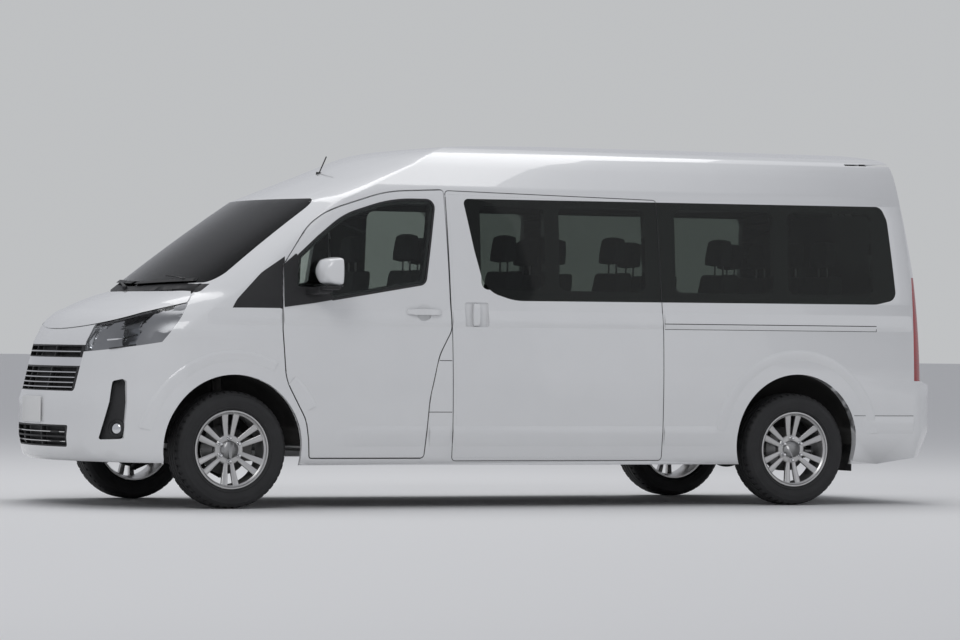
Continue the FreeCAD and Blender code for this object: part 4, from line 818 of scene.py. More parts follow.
# %% Copy the wheels to their corners
CORNERS = {
    "front_left": (FRONT_AXLE_X, LEFT), "front_right": (FRONT_AXLE_X, RIGHT),
    "rear_left": (REAR_AXLE_X, LEFT), "rear_right": (REAR_AXLE_X, RIGHT),
}
HALF_TRACK = 0.8375
for corner, (axle_x, side) in CORNERS.items():
    body = "wheel_" + corner
    for model, name, material, slot_name, stands_for in (
            (tyre_model, "tyre", tyre_rubber, "tyre", ("tyre_" + corner,)),
            (rim_model, "rim", cast_alloy, "rim_alloy", ("rim_" + corner,)),
            (nuts_model, "nuts", chrome_trim, "bright", ()),
            (cap_model, "cap", cast_alloy, "rim_alloy", ())):
        piece = copy_of(model)
        piece.rotation_euler = (math.radians(-90 * side), 0, 0)
        piece.location = (axle_x, side * HALF_TRACK, HUB_HEIGHT)
        finish_piece(piece, f"{name}_detail_{corner}", material, body, stands_for)
for model in (tyre_model, rim_model, nuts_model, cap_model):
    bpy.data.objects.remove(model)
print("wheels", len(CORNERS))

# %% [markdown]
# Seals, sail plates, gaps and ridges follow the skin, which is curved two ways. So each of them is
# drawn as a flat path seen from the side (station, height), and every point of it is then moved out
# to the skin. What is found there is the panel or the smooth form, whichever lies further out.

# %% Helpers for trim on the skin
def tree_of(names):
    """A search tree over the faces of several dressed panels."""
    points = []
    faces = []
    for name in names:
        first = len(points)
        mesh = dressed[name].data
        points.extend(point.co.copy() for point in mesh.vertices)
        faces.extend([first + i for i in face.vertices] for face in mesh.polygons)
    return BVHTree.FromPolygons(points, faces)


side_tree = tree_of(["side_left", "door_left", "sliding_door", "fenders", "front_bumper", "rear_bumper",
                     "side_glass", "door_glass_left"])
INWARDS = Vector((0, 1, 0))
FAR_LEFT = -2.0
RAY_LENGTH = 1.7
NO_SKIN = 0.9
SUNK = 0.0008


def skin_out(station, height):
    """Distance of the left skin from the middle of the bus at a place seen from the side."""
    start = Vector((at(station), FAR_LEFT, height))
    reached = [tree.ray_cast(start, INWARDS, RAY_LENGTH)[0] for tree in (side_tree, form_tree)]
    return max((-place.y for place in reached if place is not None), default=NO_SKIN)


def rounded_path(corners, closed=True, spacing=0.020):
    """Points along an outline of corners (a, b, radius), with its corners rounded."""
    count = len(corners)
    bends = []
    for i, (a, b, radius) in enumerate(corners):
        here = Vector((a, b))
        if radius == 0 or (not closed and i in (0, count - 1)):
            bends.append(here)
            continue
        to_last = (Vector(corners[i - 1][:2]) - here).normalized()
        to_next = (Vector(corners[(i + 1) % count][:2]) - here).normalized()
        half = to_last.angle(to_next) / 2
        middle = here + (to_last + to_next).normalized() * (radius / math.sin(half))
        start_arm = here + to_last * (radius / math.tan(half)) - middle
        end_arm = here + to_next * (radius / math.tan(half)) - middle
        start_angle = math.atan2(start_arm.y, start_arm.x)
        sweep = (math.atan2(end_arm.y, end_arm.x) - start_angle + math.pi) % (2 * math.pi) - math.pi
        for k in range(7):
            angle = start_angle + sweep * k / 6
            bends.append(middle + Vector((math.cos(angle), math.sin(angle))) * radius)
    path = []
    for i, start in enumerate(bends):
        if i == len(bends) - 1 and not closed:
            path.append(start)
            break
        run = bends[(i + 1) % len(bends)] - start
        steps = max(1, round(run.length / spacing))
        path.extend(start + run * k / steps for k in range(steps))
    return path


def strip_on_skin(path, width, rises, closed=False, thickness=0.0012, fades=(0, 0)):
    """A strip along a path on the left skin; rises gives its heights above the skin across its width.

    Fades are the lengths over which an open strip sinks into the skin at its start and end.
    """
    rows = len(rises)
    columns = len(path) + (1 if closed else 0)
    clear_selection()
    bpy.ops.mesh.primitive_grid_add(x_subdivisions=columns - 1, y_subdivisions=rows - 1, size=1)
    strip = bpy.context.object
    for k in range(columns):
        here = path[k % len(path)]
        before = path[(k - 1) % len(path)] if closed or k > 0 else here
        after = path[(k + 1) % len(path)] if closed or k < len(path) - 1 else here
        run = (after - before).normalized()
        across = Vector((-run.y, run.x))
        share = 1.0
        for fade, end in zip(fades, (path[0], path[-1])):
            if fade:
                share *= min(1.0, (here - end).length / fade)
        for j, rise in enumerate(rises):
            place = here + across * width * (j / (rows - 1) - 0.5)
            out = skin_out(place.x, place.y) + rise * share - SUNK * (1 - share)
            strip.data.vertices[j * columns + k].co = (at(place.x), -out, place.y)
    apply_modifier(strip, "SOLIDIFY", thickness=thickness, offset=0)
    return smooth(faces_out(strip), 40)


def plate_on_skin(corners, rise, thickness=0.003, cuts=3):
    """A thin plate of any outline on the left skin."""
    path = rounded_path(corners, spacing=0.05)
    clear_selection()
    bpy.ops.mesh.primitive_circle_add(vertices=len(path), fill_type="NGON")
    plate = bpy.context.object
    for point, place in zip(plate.data.vertices, path):
        point.co = (at(place.x), 0, place.y)
    edit_all()
    bpy.ops.mesh.quads_convert_to_tris(ngon_method="BEAUTY")
    bpy.ops.mesh.subdivide(number_cuts=cuts)
    leave_edit()
    for point in plate.data.vertices:
        point.co.y = -skin_out(point.co.x - FRONT_AXLE_X, point.co.z) - rise
    apply_modifier(plate, "SOLIDIFY", thickness=thickness, offset=0)
    return smooth(faces_out(plate), 40)


def on_both_sides(piece, name, material, body="root", stands_for=()):
    """Finish a piece of the left side and add its mirror image on the right."""
    for one, side_name in ((piece, "left"), (flipped(copy_of(piece)), "right")):
        finish_piece(one, f"{name}_{side_name}", material, body.format(side_name),
                     [node.format(side_name) for node in stands_for])


# %% [markdown]
# A window's rubber seal is a low round strip. The sail plate in front of a door window carries the
# mirror, and it goes on over the wing as the black triangle that the CAD model has there. A gap is
# a dark line that lies a hair above the paint.

# %% Seals, sail plates and gaps
DOOR_WINDOW = [(0.402, 1.341, 0.025), (0.600, 1.338, 0.015), (0.640, 1.271, 0.012), (1.262, 1.376, 0.045),
               (1.335, 1.893, 0.050), (1.047, 1.893, 0.9), (0.723, 1.790, 0.5), (0.553, 1.655, 0.3),
               (0.415, 1.533, 0.040)]
SAIL_PLATE = [(0.325, 1.222, 0.004), (0.322, 1.482, 0.006), (0.412, 1.556, 0.008), (0.406, 1.344, 0.012),
              (0.604, 1.341, 0.010), (0.648, 1.270, 0.008), (0.525, 1.249, 0.3)]
seal = strip_on_skin(rounded_path(DOOR_WINDOW), 0.013, (0.000, 0.0022, 0.0022, 0.000), closed=True)
on_both_sides(seal, "door_window_seal", black_trim, "door_{}")
on_both_sides(plate_on_skin(SAIL_PLATE, 0.0025), "sail_plate", black_trim, "door_{}")

# Start and end (station, height), width, and height over the skin of each dark line.
GAP_LINES = {
    "filler_lid_gap": [((1.352, 0.905), (1.436, 0.905), 0.004, 0.0004),
                       ((1.282, 0.588), (1.440, 0.588), 0.004, 0.0004)],
    "door_rail_gap": [((2.907, 1.146), (4.431, 1.146), 0.005, 0.0066),
                      ((2.907, 1.112), (4.431, 1.112), 0.003, 0.0006),
                      ((4.431, 1.112), (4.431, 1.146), 0.003, 0.0040)],
    "quarter_seam": [((4.272, 0.572), (4.708, 0.572), 0.003, 0.0004)],
}


def straight(start, end):
    """Points along a straight line on the side of the bus."""
    return rounded_path([start + (0,), end + (0,)], False)


for gap_name, rows in GAP_LINES.items():
    lines = [strip_on_skin(straight(start, end), width, (rise, rise), thickness=0.0006)
             for start, end, width, rise in rows]
    finish_piece(joined(lines), gap_name, black_trim, "root")

# %% [markdown]
# A rubber seal lies in the gap round each front door. It is what makes the gap read as a fine dark
# line on a white bus. The sliding door stays shut and fills its gap, so its seal is a line that lies
# a hair above the paint.

# %% Seals in the door gaps
DOOR_GAP = [(0.311, 1.477, 0.060), (0.466, 1.709, 0.520), (0.627, 1.828, 0.520), (1.013, 1.949, 0.900),
            (1.405, 1.967, 0.025), (1.439, 1.094, 0.120), (1.353, 0.939, 0.300), (1.289, 0.662, 0.500),
            (1.261, 0.304, 0.030), (0.499, 0.304, 0.020), (0.490, 0.416, 0.200), (0.468, 0.537, 0.200),
            (0.334, 0.779, 0.300), (0.313, 1.082, 0)]
SLIDING_GAP = [(1.405, 1.954, 0.025), (2.862, 1.924, 0.025), (2.898, 1.108, 0), (2.898, 0.287, 0.025),
               (1.450, 0.287, 0.025), (1.440, 1.094, 0.120)]
DOOR_SEAL_DEPTH = -0.004
SLIDING_SEAL_HEIGHT = 0.0005
seal = strip_on_skin(rounded_path(DOOR_GAP), 0.005, (DOOR_SEAL_DEPTH, DOOR_SEAL_DEPTH), closed=True)
on_both_sides(seal, "door_gap_seal", black_trim, "root")
seal = strip_on_skin(rounded_path(SLIDING_GAP), 0.0042, (SLIDING_SEAL_HEIGHT, SLIDING_SEAL_HEIGHT),
                     closed=True, thickness=0.0006)
finish_piece(seal, "sliding_gap_seal", black_trim, "root")

# %% [markdown]
# The sheet metal swells a little round the wheels. The swelling is a strip of paint that starts with
# a crisp outer edge and fades into the skin towards the arch. In front it crosses the shut gap, so
# the part on the door is a strip of its own that moves with the door.

# %% Flares round the wheels
FLARE_RISES = (-0.001, 0.0015, 0.0028, 0.0036, 0.0042, 0.0046, 0.0040, -0.001)
FLARES = [
    ("flare_front", 0.0, 0.364, 0.560, 61, 168, "root"),
    ("flare_door", 0.0, 0.364, 0.560, 26, 48, "door_{}"),
    ("flare_rear", 3.860, 0.402, 0.555, 6, 172, "root"),
]
for flare_name, station, height, radius, start, end, body in FLARES:
    turns = [math.radians(angle) for angle in range(end, start - 1, -2)]
    arc = [Vector((station + radius * math.cos(turn), height + radius * math.sin(turn))) for turn in turns]
    on_both_sides(strip_on_skin(arc, 0.070, FLARE_RISES), flare_name, white_paint, body)

# %% [markdown]
# Two creases run along the flank. The upper one is a small overhang under the belt, which is why its
# lower face looks dark, and the sliding door's rail hides in it. The lower one is a ledge over the
# sill, which catches the light. Each panel has its own length of them, and where a crease ends it
# sinks into the skin.

# %% Creases along the flank
BELT_RISES = (-0.0008, 0.0034, 0.0060, 0.0058, 0.0044, 0.0028, 0.0012, -0.0008)
LEDGE_RISES = (-0.0008, 0.0020, 0.0040, 0.0056, 0.0068, 0.0074, 0.0022, -0.0008)
# Name, start and end station, height of the middle, width, rises, fades, body, and which sides it is on.
CREASES = [
    ("belt_wing", -0.180, 0.300, 1.164, 0.105, BELT_RISES, (0.25, 0), "root", "both"),
    ("belt_door", 0.322, 1.430, 1.164, 0.105, BELT_RISES, (0, 0), "door_{}", "both"),
    ("belt_sliding_door", 1.446, 2.892, 1.164, 0.105, BELT_RISES, (0, 0), "root", "left"),
    ("belt_quarter", 2.910, 4.700, 1.164, 0.105, BELT_RISES, (0, 0.05), "root", "left"),
    ("belt_far_side", 1.446, 4.700, 1.164, 0.105, BELT_RISES, (0, 0.05), "root", "right"),
    ("ledge_door", 0.665, 1.262, 0.440, 0.130, LEDGE_RISES, (0.12, 0), "door_{}", "both"),
    ("ledge_pillar", 1.292, 1.430, 0.440, 0.130, LEDGE_RISES, (0, 0), "root", "left"),
    ("ledge_sliding_door", 1.450, 2.892, 0.440, 0.130, LEDGE_RISES, (0, 0), "root", "left"),
    ("ledge_quarter", 2.910, 3.385, 0.440, 0.130, LEDGE_RISES, (0, 0.16), "root", "left"),
    ("ledge_far_side", 1.292, 3.385, 0.440, 0.130, LEDGE_RISES, (0, 0.16), "root", "right"),
    ("ledge_tail", 4.330, 4.708, 0.510, 0.110, LEDGE_RISES, (0.10, 0), "root", "both"),
]
CUP_IN_CREASE = {"belt_door": "door_left", "belt_sliding_door": "sliding_door"}
for name, start, end, height, width, rises, fades, body, sides in CREASES:
    strip = strip_on_skin(straight((start, height), (end, height)), width, rises, fades=fades)
    if name in CUP_IN_CREASE:
        cut_away(strip, copy_of(cups[CUP_IN_CREASE[name]]))
    if sides == "both":
        on_both_sides(strip, name, white_paint, body)
        continue
    if sides == "right":
        flipped(strip)
    finish_piece(strip, name, white_paint, body)
for cup in cups.values():
    bpy.data.objects.remove(cup)
print("creases", len(CREASES))

# %% [markdown]
# Behind its panes the wall is black, as on the real bus, where a printed border hides the glue. The
# inside of the cabin is lined: grey boards on the walls, a pale cloth under the roof. A face belongs
# to one or the other by its depth under the smooth form.

# %% Black borders and lining
GLASS_BAND = [(1.524, 1.906), (4.484, 1.917), (4.528, 1.830), (4.586, 1.319), (4.440, 1.286), (1.870, 1.278),
              (1.714, 1.325), (1.647, 1.405), (1.594, 1.590)]
SCREEN = [(-0.800, 1.368), (-0.742, 1.893), (0.742, 1.893), (0.800, 1.368), (0, 1.342)]
REAR_WINDOW = [(-0.700, 1.900), (-0.740, 1.330), (0.740, 1.330), (0.700, 1.900)]
PANE_STEP = 0.0035
BOARD_DEPTH = 0.046
lining_board = finish("lining_board", (0.055, 0.054, 0.052), 0.7, grain=700, depth=0.3, spread=0.1)
roof_cloth = finish("roof_cloth", (0.36, 0.35, 0.33), 0.85, grain=1400, depth=0.5, spread=0.06)


def inside_outline(outline, a, b):
    """Whether a place lies within an outline."""
    inside = False
    for i, (a1, b1) in enumerate(outline):
        a2, b2 = outline[i - 1]
        if (b1 > b) != (b2 > b) and a < (a2 - a1) * (b - b1) / (b2 - b1) + a1:
            inside = not inside
    return inside


def paint_faces(piece, material, test):
    """Give another finish to the faces whose middle passes a test."""
    piece.data.materials.append(material)
    index = len(piece.data.materials) - 1
    count = 0
    for face in piece.data.polygons:
        if test(face.center):
            face.material_index = index
            count += 1
    return count


def depth_under(middle):
    """Depth of a place under the smooth form."""
    return form_tree.find_nearest(middle)[3]


def behind_glass(middle):
    """Whether a place is on the stepped wall behind a pane."""
    station = middle.x - FRONT_AXLE_X
    if depth_under(middle) < PANE_STEP:
        return False
    if station > 4.55 and inside_outline(REAR_WINDOW, middle.y, middle.z):
        return True
    if station < 0.9 and abs(middle.y) < 0.80 and inside_outline(SCREEN, middle.y, middle.z):
        return True
    door_window = [corner[:2] for corner in DOOR_WINDOW]
    return inside_outline(GLASS_BAND, station, middle.z) or inside_outline(door_window, station, middle.z)


painted = 0
for node_name in ("side_left", "side_right", "sliding_door", "door_left", "door_right", "roof", "tailgate"):
    inner = roof_cloth if node_name == "roof" else lining_board
    painted += paint_faces(dressed[node_name], inner, lambda middle: depth_under(middle) > BOARD_DEPTH)
    painted += paint_faces(dressed[node_name], gloss_black, behind_glass)
painted += paint_faces(dressed["side_glass"], black_trim, lambda middle: middle.x < at(0.5))
print("faces painted black or lined", painted)

# %% [markdown]
# A headlamp is a clear lens over a bright tray. The lens is the outer face of the CAD solid, three
# millimetres thick. The satin grey tray is all the other faces of it. In it sit turned reflectors, a
# slanted divider, and in the rear corner a stack of thin dark slats. A black gasket closes the gap
# to the bonnet and the wing.

# %% Headlamps
LENS_THICKNESS = 0.003
LAMP_SKIN_DEPTH = 0.004
tray = faces_out(bare_copy(nodes["headlamps"]))
lens = copy_of(tray)


def on_lens(middle, normal):
    """Whether a face of the lamp is part of its outer face."""
    place, direction, index, distance = form_tree.find_nearest(middle)
    return distance < LAMP_SKIN_DEPTH and direction.dot(normal) > SAME_WAY


for piece, lets_go in ((lens, False), (tray, True)):
    select_faces(piece, lambda middle, normal: on_lens(middle, normal) == lets_go)
    bpy.ops.mesh.delete(type="FACE")
    leave_edit()
apply_modifier(lens, "SOLIDIFY", thickness=LENS_THICKNESS, offset=-1)
finish_piece(lens, "headlamp_lenses", lamp_lens, "root", ("headlamps",))
smooth(lens, 30)
lend_normals(lens, 1)
apply_modifier(tray, "SOLIDIFY", thickness=0.001, offset=-1)
finish_piece(smooth(tray, 30), "headlamp_trays", lamp_tray, "root")

# Station, height, radius and depth under the skin of each turned reflector.
LAMP_BOWLS = [(-0.520, 1.098, 0.050, 0.020), (-0.640, 1.050, 0.046, 0.020), (-0.735, 1.035, 0.032, 0.016),
              (-0.765, 0.975, 0.026, 0.014)]
bowl_outline = [(0.0001, -0.60), (0.30, -0.55), (0.60, -0.42), (0.85, -0.20), (1.0, 0.0), (1.06, 0.0),
                (1.06, -0.06), (0.90, -0.26), (0.65, -0.50), (0.33, -0.66), (0.0001, -0.72)]
bulb_outline = [(0.0001, -0.30), (0.16, -0.31), (0.30, -0.36), (0.34, -0.42), (0.34, -0.60), (0.0001, -0.60)]
bowls = []
bulbs = []
for station, height, radius, depth in LAMP_BOWLS:
    place, direction = form_tree.ray_cast(Vector((at(station), FAR_LEFT, height)), INWARDS, RAY_LENGTH)[:2]
    aim = (direction + Vector((-0.5, 0, 0))).normalized()
    for outline, gathered, steps in ((bowl_outline, bowls, 36), (bulb_outline, bulbs, 24)):
        bowl = turned([(a * radius, b * radius) for a, b in outline], steps)
        gathered.append(smooth(aimed(bowl, place - direction * depth, aim), 20))
on_both_sides(joined(bowls), "headlamp_bowls", chrome_trim, "root")
on_both_sides(joined(bulbs), "headlamp_bulbs", lamp_lens, "root")


def lamp_rear(height):
    """Station of the lamp's slanted rear edge at a height."""
    return -0.447 + (height - 1.003) * 0.775


SLATS = 7
SLAT_LENGTH = 0.098
slats = []
bright_slats = []
for k in range(SLATS):
    height = 1.040 + 0.021 * k
    front, rear = lamp_rear(height) - SLAT_LENGTH, lamp_rear(height) - 0.010
    slats.append(strip_on_skin(straight((front, height), (rear, height + 0.010)), 0.009, (-0.012, -0.010),
                               thickness=0.002))
    height += 0.0105
    bright_slats.append(strip_on_skin(straight((front, height), (rear, height + 0.010)), 0.004,
                                      (-0.013, -0.013), thickness=0.002))
on_both_sides(joined(slats), "headlamp_slats", gloss_black, "root")
divider = straight((lamp_rear(1.015) - 0.108, 1.015), (lamp_rear(1.190) - 0.108, 1.190))
bright_slats.append(strip_on_skin(divider, 0.014, (-0.016, -0.006, -0.016), thickness=0.002))
shelf_ends = [(-0.700, 1.012, 0), (-0.640, 1.020, 0), (-0.560, 1.045, 0)]
bright_slats.append(strip_on_skin(rounded_path(shelf_ends, False), 0.008, (-0.012, -0.008, -0.012),
                                  thickness=0.002))
on_both_sides(joined(bright_slats), "headlamp_bars", chrome_trim, "root")
gasket_path = [(-0.700, 0.960, 0), (-0.450, 1.008, 0.01), (-0.270, 1.235, 0.01), (-0.508, 1.170, 0),
               (-0.700, 1.104, 0)]
gasket = strip_on_skin(rounded_path(gasket_path, False), 0.007, (-0.0015, 0.0008, -0.0015), thickness=0.0012)
on_both_sides(gasket, "headlamp_gasket", gloss_black, "root")
print("headlamp bowls", len(LAMP_BOWLS), "slats", SLATS)

# %% [markdown]
# The nose is seen from the front, so its trim is drawn as places across and up, and each point is
# moved along the bus to the smooth form. Behind the grille and the intake stands a black panel, so
# that no light shows through the slots. Painted highlights run along the slats as thin bright lines,
# and a blank number plate is screwed on below.

# %% Nose
NOSE = -1
TAIL = 1
PAST_END = 3.5
END_RAY_LENGTH = 2.0
NO_END_SKIN = 2.6


def end_skin(across, height, end=NOSE):
    """X of the form's front or rear at a place seen from there."""
    start = Vector((PAST_END * end, across, height))
    place = form_tree.ray_cast(start, Vector((-end, 0, 0)), END_RAY_LENGTH)[0]
    return place.x if place else NO_END_SKIN * end


def sheet_on_end(low, high, columns, rows, lift, thickness, end=NOSE):
    """A sheet between two corners (across, height), lifted off the nose or the tail."""
    clear_selection()
    bpy.ops.mesh.primitive_grid_add(x_subdivisions=columns, y_subdivisions=rows, size=1)
    sheet = bpy.context.object
    for point in sheet.data.vertices:
        across = low[0] + (point.co.x + 0.5) * (high[0] - low[0])
        height = low[1] + (point.co.y + 0.5) * (high[1] - low[1])
        point.co = (end_skin(across, height, end) + lift * end, across, height)
    apply_modifier(sheet, "SOLIDIFY", thickness=thickness, offset=0)
    return smooth(faces_out(sheet), 40)


backs = [sheet_on_end((-0.480, 0.695), (0.480, 0.985), 24, 8, -0.040, 0.004),
         sheet_on_end((-0.455, 0.355), (0.455, 0.500), 24, 4, -0.040, 0.004)]
finish_piece(joined(backs), "nose_backing", black_trim, "root")
# Thin strips along the slats are painted highlights: chrome on the grille and pale paint on the intake stand
# for the light that the slats' edges catch.
GRILLE_HIGHLIGHT_HEIGHTS = [0.7230, 0.7515, 0.7825, 0.8135, 0.9390]
INTAKE_HIGHLIGHT_HEIGHTS = [0.3940, 0.4230, 0.4520]
# Name, heights, half length, half width, finish and slot of each set of lines.
for name, heights, reach, half, material, slot_name in (
        ("grille_highlight_lines", GRILLE_HIGHLIGHT_HEIGHTS, 0.452, 0.0022, chrome_trim, "bright"),
        ("intake_highlight_lines", INTAKE_HIGHLIGHT_HEIGHTS, 0.420, 0.0020, bare_plate, "body_paint")):
    lines = [sheet_on_end((-reach, height - half), (reach, height + half), 30, 1, 0.0012, 0.002)
             for height in heights]
    finish_piece(joined(lines), name, material, "root")
plate_front = end_skin(0, 0.585) - 0.004
plate = block((plate_front - 0.002, -0.165, 0.506), (plate_front + 0.004, 0.165, 0.664))
finish_piece(rounded(plate, 0.0015, 2, 60), "number_plate_front", bare_plate, "root")

# %% [markdown]
# Wiper arms rise from the cowl and press the blades on the windscreen. An arm is a box that is
# divided, tapered towards the blade and bowed off the glass; a turned cap covers its spindle. The
# tailgate has one short arm of its own, parked along the foot of its window.

# %% Wiper arms
def screen_skin(across, station):
    """Height of the windscreen or the cowl at a place seen from above."""
    place = form_tree.ray_cast(Vector((at(station), across, 3.0)), Vector((0, 0, -1)), 3.0)[0]
    return place.z


def wiper_arm(start, end, width, thickness, bow):
    """A tapered arm from a spindle to the middle of a blade."""
    run = end - start
    arm = divided(7, lambda a, b, c: (
        (a + 1) / 2 * run.length, b * width * (0.72 - 0.28 * a) / 2, c * thickness / 2 + bow * (1 - a * a)))
    arm.rotation_euler = run.to_track_quat("X", "Z").to_euler()
    arm.location = start
    return rounded(settle(arm), 0.0015, 2, 50)


# Spindle and blade middle, each as (across, station).
WIPERS = [((-0.560, -0.175), (-0.355, -0.215)), ((0.060, -0.330), (0.290, -0.275))]
arms = []
for (spindle_y, spindle_station), (blade_y, blade_station) in WIPERS:
    spindle = Vector((at(spindle_station), spindle_y, screen_skin(spindle_y, spindle_station) + 0.008))
    blade = Vector((at(blade_station), blade_y, screen_skin(blade_y, blade_station) + 0.022))
    arms.append(wiper_arm(spindle, blade, 0.022, 0.007, 0.006))
    boss = turned([(0.0001, 0.012), (0.010, 0.011), (0.014, 0.007), (0.015, -0.012), (0.0001, -0.012)], 24)
    boss.location = spindle
    arms.append(smooth(settle(boss), 30))
finish_piece(joined(arms), "wiper_arms", black_trim, "root")

# %% [markdown]
# The tailgate carries a bar with the handle's black recess under it, a wiper, and a high brake lamp
# over the window. Two small red reflectors lie on the bumper. The place for the number plate stays
# bare.

# %% Tail
bars = sheet_on_end((-0.430, 1.128), (0.430, 1.196), 24, 6, 0.010, 0.016, TAIL)
finish_piece(rounded(bars, 0.005, 3, 60), "tailgate_bar", white_paint, "tailgate")
recess = sheet_on_end((-0.160, 1.098), (0.160, 1.128), 16, 3, 0.002, 0.004, TAIL)
finish_piece(recess, "tailgate_handle", black_trim, "tailgate")
brake_lamp = sheet_on_end((-0.170, 1.962), (0.170, 1.984), 16, 2, 0.004, 0.008, TAIL)
finish_piece(rounded(brake_lamp, 0.002, 2, 60), "high_brake_lamp", red_lens, "tailgate")
for side_name, low, high in (("left", -0.760, -0.640), ("right", 0.640, 0.760)):
    patch = sheet_on_end((low, 0.560), (high, 0.590), 8, 2, 0.0015, 0.004, TAIL)
    finish_piece(patch, "bumper_reflector_" + side_name, red_lens, "root")
ARM_LIFT = 0.014
PIVOT = (0.020, 1.288)
TIP = (-0.380, 1.352)
pivot = Vector((end_skin(*PIVOT, TAIL) + ARM_LIFT, *PIVOT))
tip = Vector((end_skin(*TIP, TAIL) + ARM_LIFT, *TIP))
rear_arm = wiper_arm(pivot, pivot.lerp(tip, 0.62), 0.022, 0.008, 0.006)
boss = turned([(0.0001, 0.012), (0.014, 0.011), (0.020, 0.006), (0.022, -0.012), (0.0001, -0.012)], 24)
boss.rotation_euler = (0, math.radians(90), 0)
boss.location = pivot
# The blade lies between two places across, and rises towards the tip as the arm does.
BLADE_ENDS = (-0.400, -0.060)
BLADE_RISE = 0.064
rear_blade = block((pivot.x - 0.006, BLADE_ENDS[0], -0.006), (pivot.x + 0.004, BLADE_ENDS[1], 0.006))
for point in rear_blade.data.vertices:
    share = (point.co.y + 0.020) / -0.360
    point.co.z += PIVOT[1] + BLADE_RISE * share
    point.co.x += end_skin(point.co.y, 1.330, TAIL) + 0.010 - pivot.x
rear_wiper = joined([rear_arm, smooth(settle(boss), 30), rounded(rear_blade, 0.002, 2, 50)])
finish_piece(rear_wiper, "rear_wiper", black_trim, "tailgate")
print("tail trim")

# %% [markdown]
# Each fog lamp is a small round lamp in a ring, at the foot of its black recess. Its ring and its
# domed lens are turned, and both look a little outwards, square to the recess.

# %% Fog lamps
FOG_PLACE = Vector((at(-0.682), -0.774, 0.480))
FOG_AIM = Vector((-0.80, -0.60, 0.05))
fog_ring_outline = [(0.036, 0.002), (0.039, 0.008), (0.045, 0.012), (0.055, 0.006), (0.060, -0.004),
                    (0.052, -0.006), (0.036, -0.006)]
fog_lens_outline = [(0.0001, 0.012), (0.012, 0.0115), (0.024, 0.009), (0.033, 0.004), (0.036, 0.000),
                    (0.036, -0.006), (0.0001, -0.006)]
for outline, name, material, slot_name in ((fog_ring_outline, "fog_ring", black_trim, "black_plastic"),
                                           (fog_lens_outline, "fog_lens", reflector, "bright")):
    lamp_part = aimed(turned(outline, 48), FOG_PLACE, FOG_AIM)
    on_both_sides(smooth(lamp_part, 30), name, material, "root")
print("nose trim")

# %% [markdown]
# A door handle is a bar that stands off the skin and bows back to it at both ends. The bar starts as
# a box, cut into slices, and its middle is moved out. The sliding door's bar stands upright in its
# cup.

# %% Door handles
def handle_bar(length, height, stand, upright):
    """A bowed bar about the origin, along X or standing, with its outside towards -Y."""
    bar = divided(9, lambda a, b, c: (
        a * length / 2, 0.009 * b - stand * (1 - a ** 6), c * height / 2 * (1 - 0.25 * a ** 4)))
    rounded(bar, 0.006, 4, 50)
    if upright:
        bar.rotation_euler.y = math.radians(90)
    return settle(bar)


bar = handle_bar(0.232, 0.036, 0.018, False)
bar.location = (at(FRONT_HANDLE[0]), -HANDLE_SKIN - 0.001, FRONT_HANDLE[1])
on_both_sides(settle(bar), "door_handle", white_paint, "door_{}")
bar = handle_bar(0.138, 0.044, 0.008, True)
bar.location = (at(SLIDING_HANDLE[0]) - 0.004, -HANDLE_SKIN + 0.002, SLIDING_HANDLE[1])
finish_piece(bar, "sliding_door_handle", white_paint, "root")

# %% [markdown]
# A door mirror is a deep shell on a black foot. The shell starts as a divided box whose points are
# moved by a rule, so that its front is domed and its corners are round. Its rear is inset for the
# glass. A clear strip for the indicator runs along its lower edge.

# %% Door mirrors
MIRROR_MIDDLE = (at(0.539), -1.117, 1.440)
MIRROR_HALF = (0.065, 0.113, 0.088)


def mirror_outline(b, c):
    """A place across and up in the mirror's rounded outline, from shares of its box."""
    return b * (1 - 0.10 * c * c), c * (1 - 0.13 * b * b)


def mirror_shape(a, b, c):
    """The shell: domed to the front, flat to the rear."""
    ahead = (1 - a) / 2
    drawn_in = 1 - 0.24 * ahead ** 2.2
    across, up = mirror_outline(b, c)
    dome = 0.040 * ahead * ahead * (b * b + c * c) / 2
    return (MIRROR_MIDDLE[0] + MIRROR_HALF[0] * a + dome,
            MIRROR_MIDDLE[1] + MIRROR_HALF[1] * across * drawn_in,
            MIRROR_MIDDLE[2] + MIRROR_HALF[2] * up * drawn_in)


def mirror_glass_shape(a, b, c):
    """The glass: a thin slice of the same outline, a little smaller."""
    across, up = mirror_outline(b, c)
    return at(0.592) + 0.0015 * a, MIRROR_MIDDLE[1] + 0.103 * across, MIRROR_MIDDLE[2] + 0.078 * up


shell = rounded(divided(9, mirror_shape), 0.014, 4, 40)
select_faces(shell, lambda middle, normal: normal.x > 0.97 and middle.x > at(0.600))
bpy.ops.mesh.inset(thickness=0.004)
bpy.ops.mesh.extrude_region_move(TRANSFORM_OT_translate={"value": (-0.014, 0, 0)})
leave_edit()
on_both_sides(smooth(shell, 45), "mirror_shell", white_paint, "door_{}")
glass = smooth(divided(9, mirror_glass_shape), 40)
on_both_sides(glass, "mirror_glass", mirror_silver, "door_{}")
strip = block((at(0.486), -1.222, 1.347), (at(0.600), -1.030, 1.361))
on_both_sides(rounded(strip, 0.005, 3, 50), "mirror_strip", lamp_lens, "door_{}")
cap = block((at(0.500), -1.200, 1.328), (at(0.602), -1.012, 1.352))
select_faces(cap, lambda middle, normal: normal.z < -0.9)
bpy.ops.transform.resize(value=(0.8, 0.85, 1))
leave_edit()
rounded(cap, 0.007, 3, 50)
arm = block((at(0.462), -1.080, 1.292), (at(0.578), -0.950, 1.334))
for point in arm.data.vertices:
    if point.co.y < -1.0:
        point.co.x = at(0.500) if point.co.x < at(0.52) else at(0.590)
        point.co.z += 0.020
rounded(arm, 0.010, 4, 50)
on_both_sides(joined([cap, arm]), "mirror_foot", black_trim, "door_{}", ("mirror_{}",))
print("mirrors and handles")

